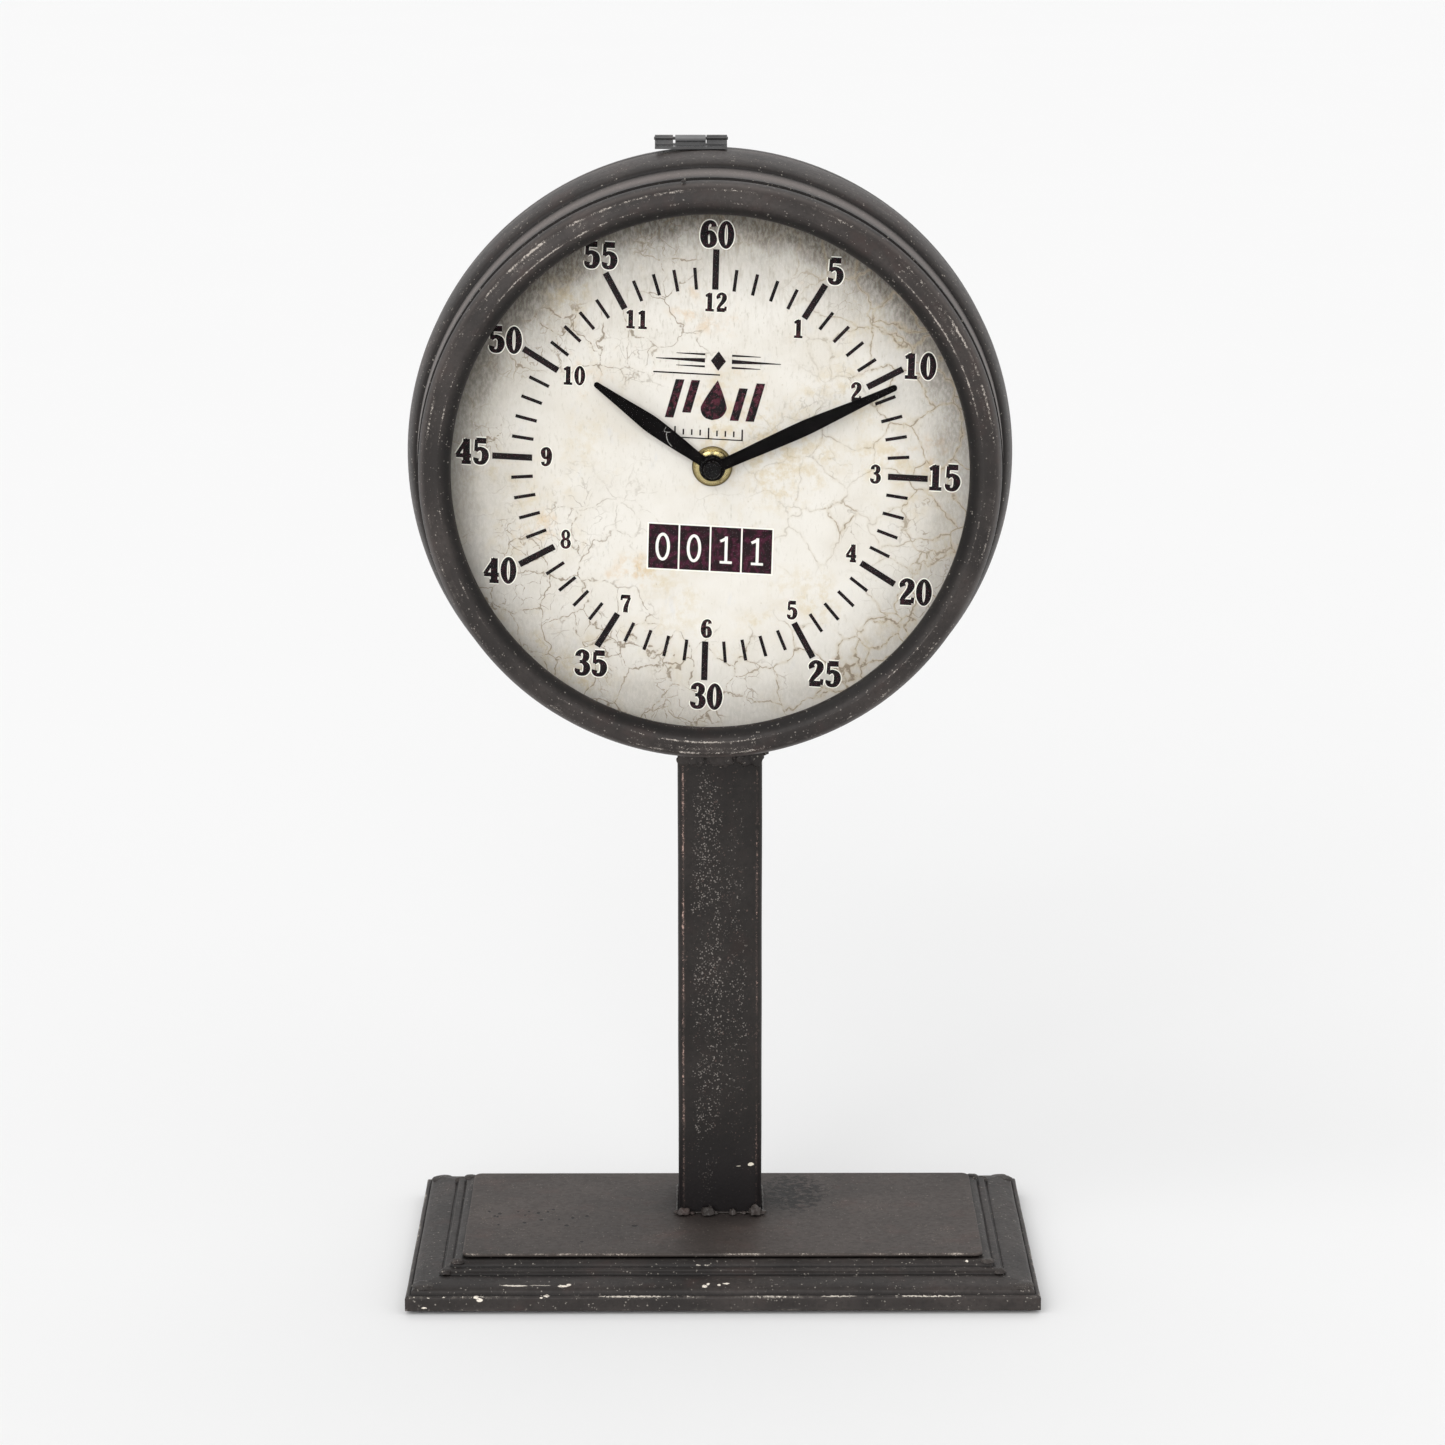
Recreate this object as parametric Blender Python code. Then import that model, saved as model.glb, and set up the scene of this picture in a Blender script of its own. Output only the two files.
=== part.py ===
"""Table clock in the style of a service-station fuel meter.

A round steel head with a bezel, glass and printed dial stands on a square post, welded to a
moulded rectangular base.  A quartz movement drives two hands; the rear cover of the head hangs on
a small butt hinge at the top and swings up for the battery and the setting knob.

Units are metres.  +Z is up, -Y is the front, the origin is on the surface the clock stands on,
at the middle of the base.  Turned parts are described by (radius, depth) points, with depth
along +Y.
"""
import math

import bmesh
import bpy

MM = 0.001
GAP = 0.3 * MM                    # clearance between two fixed pieces that touch
FIT = 0.05 * MM                   # radial clearance of a shaft in its hole
HALF_TURN = math.pi
FULL_TURN = 2.0 * math.pi

# Feet and base
FOOT_RADIUS = 6.0 * MM
FOOT_HEIGHT = 1.0 * MM
FOOT_INSET = 10.0 * MM            # foot centre from the two outer edges of the base
BASE_BOTTOM = FOOT_HEIGHT + GAP
BASE_WIDTH = 222.0 * MM
BASE_DEPTH = 125.0 * MM
BASE_HEIGHT = 14.1 * MM
BORDER = 19.0 * MM                # width of the moulding that shows round the top plate
MOULDING_WIDTH = 24.0 * MM        # with the shelf that carries the top plate
SHELF_HEIGHT = 12.4 * MM
LIP_HEIGHT = 5.3 * MM             # the outermost part of the moulding, with its edges broken
LIP_WIDTH = 1.6 * MM
LIP_EDGE = 0.4 * MM
OGEE_WIDTH = 9.3 * MM             # the convex sweep behind the lip
OGEE_RISE = 2.6 * MM
OGEE_FOOT = 6.1 * MM
OGEE_TOP_INSET = 11.6 * MM
STEP_INSET = 12.8 * MM            # the square step behind the sweep
STEP_WIDTH = 2.8 * MM
STEP_HEIGHT = 10.6 * MM
BEAD_WIDTH = 2.7 * MM             # the quarter-round bead beside the plate
BEAD_RISE = 2.0 * MM
BEAD_INSET = 18.6 * MM
MITRE_GAP = 0.15 * MM
PLATE_THICKNESS = 1.2 * MM
PLATE_CORNER = 3.0 * MM
BASE_TOP = BASE_BOTTOM + BASE_HEIGHT

# Post
POST_SIDE = 30.0 * MM
POST_WALL = 1.5 * MM
POST_CORNER = 2.5 * MM
COPE_DEPTH = 10.0 * MM            # length of tube from which the curved end is cut
POST_X = -0.8 * MM
POST_FRONT = -0.9 * MM
POST_Y = POST_FRONT + POST_SIDE / 2
WELD_FOOT = 2.6 * MM              # leg of the fillet weld round the foot of the post
WELD_HOLLOW = 0.4                 # the weld's face is hollow: this share of its leg in the middle
WELD_HEAD = 1.8 * MM              # thickness of the weld bead under the head
WELD_HEAD_DROP = 6.0 * MM         # how far the bead reaches below the front of the drum
WELD_HEAD_REACH = 8.0 * MM        # depth (Y) at which the two side beads end

# Head
HEAD_X = -4.2 * MM
HEAD_Z = 291.0 * MM
HEAD_SEGMENTS = 60
SHEET = 1.0 * MM
DRUM_FRONT = -20.5 * MM
DRUM_FRONT_RADIUS = 100.6 * MM
DRUM_STEP = 0.0 * MM              # depth at which the wide rear flange begins
DRUM_STEP_RADIUS = 102.0 * MM
FLANGE_RADIUS = 106.3 * MM
FLANGE_START = 18.0 * MM          # depth at which the flange reaches its full radius
DRUM_BACK = 24.0 * MM
FLANGE_STEPS = 6

# Bezel ring
BEZEL_BACK = DRUM_FRONT - GAP
BEZEL_RADIUS = 100.0 * MM
BEZEL_WIDEST = -24.0 * MM
BEZEL_CREST_RADIUS = 94.0 * MM
BEZEL_CREST = -30.9 * MM
BEZEL_LIP_RADIUS = 88.7 * MM
BEZEL_LIP = -27.6 * MM
BEZEL_SLOPE_RADIUS = 92.0 * MM    # where the crest turns down towards the glass
BEZEL_SLOPE = -30.3 * MM
BEZEL_LIP_EDGE = 0.3 * MM
BEZEL_SKIRT_RADIUS = 98.6 * MM    # where the ring meets the front of the drum
GLASS_SEAT_RADIUS = 95.4 * MM
GLASS_SEAT = -26.4 * MM
RIVET_RADIUS = 0.9 * MM
RIVET_RISE = 0.5                  # height of the rivet's head as a share of its radius
RIVET_ANGLE = math.radians(5.1)   # to the left of the top, seen from the front
RIVET_TILT = math.radians(20.0)   # the head faces forward with the roll of the bezel
RIVET_FORWARD = 1.1               # the roll is a little deeper than it is wide

# Glass, dial and the two hoops that hold them
GLASS_RADIUS = 95.0 * MM
GLASS_FRONT = GLASS_SEAT + GAP
GLASS_THICKNESS = 2.0 * MM
DIAL_RADIUS = 99.2 * MM
DIAL_FRONT = -12.0 * MM
DIAL_THICKNESS = 2.5 * MM
DIAL_HOLE = 4.3 * MM
HOOP_OUTER = 94.8 * MM
HOOP_INNER = 93.6 * MM
KEEPER_OUTER = 99.2 * MM
KEEPER_INNER = 97.2 * MM
KEEPER_THICKNESS = 1.6 * MM

# Rear cover, its knob and its hinge
COVER_FRONT = DRUM_BACK + GAP
COVER_BACK = 31.5 * MM
COVER_CORNER = 2.0 * MM
COVER_PANEL_RADIUS = 90.0 * MM
COVER_PANEL_RAISE = 1.5 * MM
KNOB_DROP = 88.0 * MM             # cover knob below the centre of the head
COVER_KNOB_RADIUS = 4.0 * MM
COVER_KNOB_LENGTH = 7.0 * MM
COVER_KNOB_SHAPE = ((0.5, 0.0), (0.5, 0.35), (1.0, 0.55), (1.0, 0.85), (0.7, 1.0))
HINGE_X = -10.75 * MM
HINGE_LENGTH = 25.1 * MM
HINGE_Y = 24.4 * MM
HINGE_Z = 400.7 * MM
BARREL_RADIUS = 1.25 * MM
PIN_RADIUS = 0.55 * MM
LEAF_THICKNESS = 0.8 * MM
LEAF_WIDTH = 6.3 * MM
LEAF_START = 1.6 * MM             # edge of the leaf's flat, from the pin
NECK_REACH = 0.7 * MM             # how far the rolled end of a leaf wraps under the pin
NECK_ROOT = 2.4 * MM
BARREL_STEPS = 11                 # sides of a knuckle, less one
KNUCKLE_ENDS = (-12.55 * MM, -6.25 * MM, -5.45 * MM, 5.15 * MM, 5.85 * MM, 12.55 * MM)

# Hands, on an axis a little off the centre of the head
HAND_X = HEAD_X + 0.7 * MM
HAND_Z = HEAD_Z + 0.4 * MM
HAND_THICKNESS = 0.5 * MM
HOUR_DEPTH = -17.0 * MM           # front face of the hour hand
MINUTE_DEPTH = -19.2 * MM         # front face of the minute hand
HOUR_ANGLE = math.radians(306.2)  # clockwise from the top, at ten minutes past ten
MINUTE_ANGLE = math.radians(65.7)
HOUR_LENGTH = 50.0 * MM
MINUTE_LENGTH = 69.4 * MM
HOUR_HUB = 4.5 * MM
MINUTE_HUB = 3.8 * MM
# (distance from the axis, half width) along each hand, from its root to its tip
HOUR_STATIONS = ((4.1 * MM, 1.8 * MM), (14.0 * MM, 2.45 * MM), (25.0 * MM, 3.0 * MM),
                 (36.0 * MM, 2.15 * MM), (HOUR_LENGTH - 1.0 * MM, 1.0 * MM))
MINUTE_STATIONS = ((3.2 * MM, 2.0 * MM), (20.0 * MM, 2.4 * MM), (34.0 * MM, 2.7 * MM),
                   (46.0 * MM, 2.15 * MM), (58.0 * MM, 1.45 * MM), (MINUTE_LENGTH - 1.1 * MM, 1.1 * MM))
CAP_RADIUS = 3.0 * MM
CAP_LENGTH = 1.9 * MM
CAP_FACE = 0.8                    # radius of the cap's flat face, as a share of the cap's
CAP_SIDE = 0.75                   # length of its straight side, as a share of its length
WASHER_RADIUS = 7.0 * MM
WASHER_THICKNESS = 0.6 * MM
NUT_FLATS = 11.0 * MM
NUT_THICKNESS = 2.0 * MM
RUBBER_RADIUS = 11.0 * MM

# Quartz movement, measured from the hand axis
CASE_SIDE = 56.0 * MM
CASE_CORNER = 4.0 * MM
CASE_FRONT = -8.0 * MM
CASE_BACK = 6.4 * MM
CASE_WALL = 1.5 * MM
LID_BACK = 8.0 * MM
LID_CORNER = 1.0 * MM
BAY_TOP = -10.9 * MM              # top of the battery bay
BAY_WALL = 1.0 * MM
BUSH_RADIUS = 4.0 * MM
BUSH_BORE = 2.6 * MM
BUSH_FRONT = -15.6 * MM
PIPE_RADIUS = 2.5 * MM            # the hour wheel's pipe
PIPE_BORE = 1.75 * MM
ARBOR_RADIUS = 1.65 * MM          # the minute arbor inside that pipe
BATTERY_RADIUS = 7.2 * MM
BATTERY_LENGTH = 50.0 * MM
BATTERY_Z = -18.9 * MM
BATTERY_Y = 1.1 * MM

BATTERY_TIP = (2.7 * MM, 1.2 * MM)  # radius and height of the positive end
CONTACT_SHEET = 0.4 * MM
CONTACT_WIDTH = 6.0 * MM

# Stepping motor and circuit board, measured from the hand axis
ROTOR_OUTLINE = ((0.0, -0.6 * MM), (0.8 * MM, -0.6 * MM), (0.8 * MM, 1.2 * MM), (3.0 * MM, 1.2 * MM),
                 (3.0 * MM, 4.0 * MM), (0.5 * MM, 4.0 * MM), (0.5 * MM, 5.9 * MM), (0.0, 5.9 * MM))
STATOR_FRONT = 2.0 * MM
STATOR_BACK = 3.0 * MM
STATOR_OUTLINE = ((4.6 * MM, 5.4 * MM), (12.0 * MM, 5.4 * MM), (14.0 * MM, 8.8 * MM),
                  (25.4 * MM, 8.8 * MM))      # (x, half height)
STATOR_HOLE = 3.5 * MM
STATOR_WINDOWS = ((14.6 * MM, 17.9 * MM), (20.6 * MM, 24.0 * MM))
STATOR_WINDOW_HALF = 6.6 * MM
COIL_X = 19.25 * MM
COIL_SIDE = 6.2 * MM
COIL_CORNER = 2.0 * MM
COIL_LENGTH = 12.0 * MM
COIL_BORE = (3.4 * MM, 1.7 * MM)
COIL_BORE_CORNER = 0.2 * MM
BOARD_LOW = (-14.0 * MM, 1.0 * MM, 17.5 * MM)
BOARD_HIGH = (22.0 * MM, 1.8 * MM, 26.0 * MM)
CRYSTAL_RADIUS = 1.0 * MM
CRYSTAL_SPAN = (-10.0 * MM, -4.0 * MM)
CRYSTAL_Z = 21.0 * MM

# Going train and motion work: teeth, and the module that fits each pair's centre distance
MINUTE_TEETH, THIRD_PINION_TEETH = 64, 8
THIRD_TEETH, SECONDS_PINION_TEETH = 60, 8
SECONDS_TEETH = 60
CANNON_TEETH, MOTION_TEETH = 12, 36
MOTION_PINION_TEETH, HOUR_TEETH = 10, 40
KNOB_TEETH = 12
TRAIN_DISTANCE = 9.0 * MM         # third wheel from the hand axis
MOTION_DISTANCE = 9.6 * MM        # motion wheel from the hand axis
THIRD_DIRECTION = math.radians(60.0)
MOTION_DIRECTION = math.radians(150.0)
KNOB_DIRECTION = math.radians(180.0)
ROTOR_CENTRE = (9.0 * MM, 0.0)
ADDENDUM = 0.55                   # of the module
DEDENDUM = 1.15

WHEEL_ARBOR = 0.5 * MM            # radius of the third and seconds arbors
MOTION_ARBOR = 0.9 * MM
ARBOR_FRONT = -6.3 * MM           # the arbors run between the front of the case and its back
ARBOR_BACK = 5.9 * MM
SHOULDER = 0.2 * MM               # overlap of a pinion with its wheel
KNOB_ARBOR = 1.2 * MM
KNOB_HOLE = 1.5 * MM
KNOB_GRIP_RIBS = 18
KNOB_GRIP_MODULE = 0.6 * MM
KNOB_GRIP = (0.4 * MM, 2.8 * MM)  # front and back of the grip, behind the case

# Levels of the wheels: (front, back)
HOUR_LEVEL = (-6.0 * MM, -5.1 * MM)
MOTION_PINION_LEVEL = (-6.2 * MM, -4.9 * MM)
MOTION_LEVEL = (-4.3 * MM, -3.5 * MM)
CANNON_LEVEL = (-4.6 * MM, -3.3 * MM)
MINUTE_LEVEL = (-2.9 * MM, -2.1 * MM)
THIRD_PINION_LEVEL = (-3.1 * MM, -1.9 * MM)
THIRD_LEVEL = (-1.4 * MM, -0.7 * MM)
SECONDS_PINION_LEVEL = (-1.6 * MM, -0.5 * MM)
SECONDS_LEVEL = (-0.1 * MM, 0.6 * MM)


def clear_scene():
    """Remove every object of the start-up scene."""
    for old in list(bpy.data.objects):
        bpy.data.objects.remove(old, do_unlink=True)


# ---------------------------------------------------------------- materials and objects

def material(name, colour, roughness, metallic=0.0, alpha=1.0):
    """A Principled material with one colour."""
    made = bpy.data.materials.new(name)
    made.use_nodes = True
    shader = made.node_tree.nodes["Principled BSDF"]
    shader.inputs["Base Color"].default_value = (*colour, 1.0)
    shader.inputs["Roughness"].default_value = roughness
    shader.inputs["Metallic"].default_value = metallic
    shader.inputs["Alpha"].default_value = alpha
    return made


def iron_paint(name):
    return material(name, (0.050, 0.045, 0.042), 0.55, 0.3)


def black_paint(name):
    return material(name, (0.012, 0.010, 0.011), 0.45)


def brass(name):
    return material(name, (0.62, 0.45, 0.18), 0.28, 1.0)


def bright_steel(name):
    return material(name, (0.55, 0.55, 0.54), 0.35, 1.0)


def moulded_plastic(name, colour=(0.03, 0.03, 0.03)):
    return material(name, colour, 0.5)


def pivot(name, location, parent=None):
    """An empty that marks a joint's axis or a group of pieces."""
    empty = bpy.data.objects.new(name, None)
    empty.location = location
    empty.parent = parent
    bpy.context.scene.collection.objects.link(empty)
    return empty


def add_object(name, bm, finish, parent=None, location=(0.0, 0.0, 0.0), smooth=None):
    """Turn a bmesh into a named object; smooth is the sharp-edge angle in degrees."""
    bmesh.ops.recalc_face_normals(bm, faces=bm.faces)
    mesh = bpy.data.meshes.new(name)
    bm.to_mesh(mesh)
    bm.free()
    if smooth is not None:
        mesh.shade_smooth()
        mesh.set_sharp_from_angle(angle=math.radians(smooth))
    made = bpy.data.objects.new(name, mesh)
    made.location = location
    made.parent = parent
    if finish is not None:
        mesh.materials.append(finish)
    bpy.context.scene.collection.objects.link(made)
    return made


def combine(target, tool_mesh, operation, parent=None, location=(0.0, 0.0, 0.0)):
    """Cut or add one shape with a Boolean that keeps its tool as a hidden guide."""
    tool = add_object(f"{target.name}_{operation.lower()}_{len(target.modifiers)}", tool_mesh, None,
                      parent, location)
    tool.hide_render = True
    tool.display_type = "WIRE"
    modifier = target.modifiers.new(operation.lower(), "BOOLEAN")
    modifier.operation = operation
    modifier.solver = "EXACT"
    modifier.object = tool
    return target


# ---------------------------------------------------------------- shapes

def turned(profile, segments, closed=True):
    """Spin (radius, depth) points about the Y axis; an open profile starts and ends on the axis."""
    bm = bmesh.new()
    verts = [bm.verts.new((radius, depth, 0.0)) for radius, depth in profile]
    pairs = zip(verts, verts[1:] + verts[:1]) if closed else zip(verts, verts[1:])
    edges = [bm.edges.new(pair) for pair in pairs]
    bmesh.ops.spin(bm, geom=verts + edges, cent=(0, 0, 0), axis=(0, 1, 0), angle=FULL_TURN,
                   steps=segments, use_merge=True)
    bmesh.ops.remove_doubles(bm, verts=bm.verts, dist=0.001 * MM)
    return bm


def disc(radius, front, back, segments=24):
    """A solid round plate or shaft along Y."""
    return turned([(0.0, front), (radius, front), (radius, back), (0.0, back)], segments, False)


def tube(outer, inner, front, back, segments=24):
    """A ring or pipe along Y."""
    return turned([(outer, front), (outer, back), (inner, back), (inner, front)], segments)


def prism(outline, low, high, axis="Y"):
    """Extrude a flat outline.  Along Y it holds (x, z), along X (y, z) and along Z (x, y)."""
    place = {
        "X": lambda a, b, c: (c, a, b),
        "Y": lambda a, b, c: (a, c, b),
        "Z": lambda a, b, c: (a, b, c),
    }[axis]
    bm = bmesh.new()
    base = bm.faces.new([bm.verts.new(place(a, b, low)) for a, b in outline])
    extruded = bmesh.ops.extrude_face_region(bm, geom=[base])
    moved = [item for item in extruded["geom"] if isinstance(item, bmesh.types.BMVert)]
    bmesh.ops.translate(bm, verts=moved, vec=place(0.0, 0.0, high - low))
    return bm


def box(low, high):
    """A box between two corners."""
    outline = [(low[0], low[1]), (high[0], low[1]), (high[0], high[1]), (low[0], high[1])]
    return prism(outline, low[2], high[2], "Z")


def rounded_rectangle(width, height, corner, steps=3, centre=(0.0, 0.0)):
    """Outline of a rectangle with round corners, counter-clockwise."""
    points = []
    quarter = HALF_TURN / 2
    for index, (sx, sy) in enumerate(((1, 1), (-1, 1), (-1, -1), (1, -1))):
        cx = centre[0] + sx * (width / 2 - corner)
        cy = centre[1] + sy * (height / 2 - corner)
        for step in range(steps + 1):
            angle = quarter * (index + step / steps)
            points.append((cx + corner * math.cos(angle), cy + corner * math.sin(angle)))
    return points


def square_ring(section, centre):
    """A mitred square ring in the XY plane; section holds (half side, z) points."""
    bm = bmesh.new()
    corners = ((1, 1), (-1, 1), (-1, -1), (1, -1))
    rings = [[bm.verts.new((centre[0] + sx * half, centre[1] + sy * half, z)) for sx, sy in corners]
             for half, z in section]
    for ring, following in zip(rings, rings[1:] + rings[:1]):
        for side in range(4):
            after = (side + 1) % 4
            bm.faces.new((ring[side], ring[after], following[after], following[side]))
    return bm


def arc(centre, radii, start, end, steps):
    """Points of an elliptical arc; angles in degrees."""
    points = []
    for step in range(steps + 1):
        angle = math.radians(start + (end - start) * step / steps)
        points.append((centre[0] + radii[0] * math.cos(angle), centre[1] + radii[1] * math.sin(angle)))
    return points


# ---------------------------------------------------------------- base and post

def moulding_section():
    """Cross-section of the base moulding: (distance in from the outer edge, height) points."""
    lip = [(0.0, 0.0), (0.0, LIP_HEIGHT - LIP_EDGE), (LIP_EDGE, LIP_HEIGHT),
           (LIP_WIDTH - LIP_EDGE, LIP_HEIGHT), (LIP_WIDTH, LIP_HEIGHT - LIP_EDGE)]
    ogee = arc((OGEE_TOP_INSET, OGEE_FOOT), (OGEE_WIDTH, OGEE_RISE), 180, 90, 5)
    ogee_top = OGEE_FOOT + OGEE_RISE
    edge = 0.3 * MM
    step = [(STEP_INSET - 2.5 * edge, ogee_top - 1.2 * edge), (STEP_INSET, ogee_top + 0.8 * edge),
            (STEP_INSET, STEP_HEIGHT - edge), (STEP_INSET + edge, STEP_HEIGHT),
            (STEP_INSET + STEP_WIDTH - 1.2 * edge, STEP_HEIGHT),
            (STEP_INSET + STEP_WIDTH, STEP_HEIGHT - 1.2 * edge)]
    bead = arc((BEAD_INSET, SHELF_HEIGHT - BEAD_RISE), (BEAD_WIDTH, BEAD_RISE), 180, 90, 3)
    shelf = [(MOULDING_WIDTH, SHELF_HEIGHT), (MOULDING_WIDTH, 0.0)]
    return [(inset, BASE_BOTTOM + height) for inset, height in lip + ogee + step + bead + shelf]


def build_moulding(name, length, across, turn):
    """One mitred side of the base moulding; turn is its heading about Z in degrees."""
    bm = bmesh.new()
    ends = []
    for side in (-1, 1):
        row = []
        for inset, height in moulding_section():
            along = side * (length / 2 - inset - MITRE_GAP)
            row.append(bm.verts.new((along, inset - across / 2, height)))
        ends.append(row)
    left, right = ends
    count = len(left)
    for index in range(count):
        after = (index + 1) % count
        bm.faces.new((left[index], left[after], right[after], right[index]))
    bm.faces.new(left)
    bm.faces.new(right)
    made = add_object(name, bm, iron_paint(f"{name}_paint"), smooth=35)
    made.rotation_euler = (0.0, 0.0, math.radians(turn))
    return made


def build_base():
    """Feet, four moulding strips and the plate they carry."""
    for front_back, sy in (("front", -1), ("back", 1)):
        for left_right, sx in (("left", -1), ("right", 1)):
            spot = (sx * (BASE_WIDTH / 2 - FOOT_INSET), sy * (BASE_DEPTH / 2 - FOOT_INSET))
            outline = [(spot[0] + FOOT_RADIUS * math.cos(FULL_TURN * step / 16),
                        spot[1] + FOOT_RADIUS * math.sin(FULL_TURN * step / 16)) for step in range(16)]
            name = f"felt_foot_{front_back}_{left_right}"
            add_object(name, prism(outline, 0.0, FOOT_HEIGHT, "Z"),
                       material(f"{name}_felt", (0.02, 0.02, 0.02), 0.95), smooth=40)
    build_moulding("base_moulding_front", BASE_WIDTH, BASE_DEPTH, 0)
    build_moulding("base_moulding_back", BASE_WIDTH, BASE_DEPTH, 180)
    build_moulding("base_moulding_right", BASE_DEPTH, BASE_WIDTH, 90)
    build_moulding("base_moulding_left", BASE_DEPTH, BASE_WIDTH, -90)
    plate = rounded_rectangle(BASE_WIDTH - 2 * BORDER, BASE_DEPTH - 2 * BORDER, PLATE_CORNER)
    add_object("base_top_plate", prism(plate, BASE_TOP - PLATE_THICKNESS, BASE_TOP, "Z"),
               iron_paint("base_top_plate_paint"), smooth=40)


def head_clearance():
    """The space that the head takes, one gap larger, for coping the post to it."""
    return turned([(0.0, DRUM_FRONT)]
                  + [(radius + GAP, depth) for radius, depth in drum_outside()]
                  + [(FLANGE_RADIUS + GAP, POST_Y + POST_SIDE), (0.0, POST_Y + POST_SIDE)],
                  HEAD_SEGMENTS, False)


def build_post():
    """Square tube, coped to the underside of the drum, and its two welds."""
    foot = BASE_TOP + GAP
    top = HEAD_Z - DRUM_FRONT_RADIUS + COPE_DEPTH
    outer = rounded_rectangle(POST_SIDE, POST_SIDE, POST_CORNER, 3, (POST_X, POST_Y))
    bore = POST_SIDE - 2 * POST_WALL
    inner = rounded_rectangle(bore, bore, POST_CORNER - POST_WALL, 3, (POST_X, POST_Y))
    post = add_object("post", prism(outer, foot, top, "Z"), iron_paint("post_paint"), smooth=40)
    combine(post, prism(inner, 0.0, HEAD_Z, "Z"), "DIFFERENCE")
    combine(post, head_clearance(), "DIFFERENCE", location=(HEAD_X, 0.0, HEAD_Z))

    inside = POST_SIDE / 2 + GAP
    hollow = WELD_HOLLOW * WELD_FOOT
    section = [(inside, foot), (inside + WELD_FOOT, foot), (inside + hollow, foot + hollow),
               (inside, foot + WELD_FOOT)]
    add_object("foot_weld", square_ring(section, (POST_X, POST_Y)), iron_paint("foot_weld_paint"))

    outside = inside + WELD_HEAD
    front = POST_Y - inside
    outline = [(POST_X - outside, WELD_HEAD_REACH), (POST_X - outside, POST_Y - outside),
               (POST_X + outside, POST_Y - outside), (POST_X + outside, WELD_HEAD_REACH),
               (POST_X + inside, WELD_HEAD_REACH), (POST_X + inside, front),
               (POST_X - inside, front), (POST_X - inside, WELD_HEAD_REACH)]
    underside = HEAD_Z - DRUM_STEP_RADIUS
    bead = prism(outline, underside - WELD_HEAD_DROP, underside + WELD_HEAD_DROP, "Z")
    weld = add_object("head_weld", bead, iron_paint("head_weld_paint"))
    combine(weld, head_clearance(), "DIFFERENCE", location=(HEAD_X, 0.0, HEAD_Z))


# ---------------------------------------------------------------- head

def drum_outside(inset=0.0):
    """(radius, depth) points down the outside of the drum, front to back, moved in by inset."""
    points = [(DRUM_FRONT_RADIUS - inset, DRUM_FRONT), (DRUM_STEP_RADIUS - inset, DRUM_STEP + inset)]
    rise = FLANGE_RADIUS - DRUM_STEP_RADIUS
    reach = FLANGE_START - DRUM_STEP
    for step in range(1, FLANGE_STEPS + 1):
        angle = HALF_TURN / 2 * step / FLANGE_STEPS
        radius = DRUM_STEP_RADIUS + rise * math.sin(angle) - inset
        points.append((radius, DRUM_STEP + reach * (1.0 - math.cos(angle)) + inset))
    points.append((FLANGE_RADIUS - inset, DRUM_BACK))
    return points


def bezel_section():
    """(radius, depth) points round the solid section of the bezel ring."""
    roll = arc((BEZEL_CREST_RADIUS, BEZEL_WIDEST),
               (BEZEL_RADIUS - BEZEL_CREST_RADIUS, BEZEL_CREST - BEZEL_WIDEST), -20, 90, 6)
    crest = [(BEZEL_SLOPE_RADIUS, BEZEL_SLOPE),
             (BEZEL_LIP_RADIUS + 1.3 * BEZEL_LIP_EDGE, BEZEL_LIP - BEZEL_LIP_EDGE)]
    lip = [(BEZEL_LIP_RADIUS, BEZEL_LIP + BEZEL_LIP_EDGE), (BEZEL_LIP_RADIUS, GLASS_SEAT)]
    seat = [(GLASS_SEAT_RADIUS, GLASS_SEAT), (GLASS_SEAT_RADIUS, BEZEL_BACK)]
    skirt = [(BEZEL_SKIRT_RADIUS, BEZEL_BACK)]
    return roll + crest + lip + seat + skirt


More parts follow.
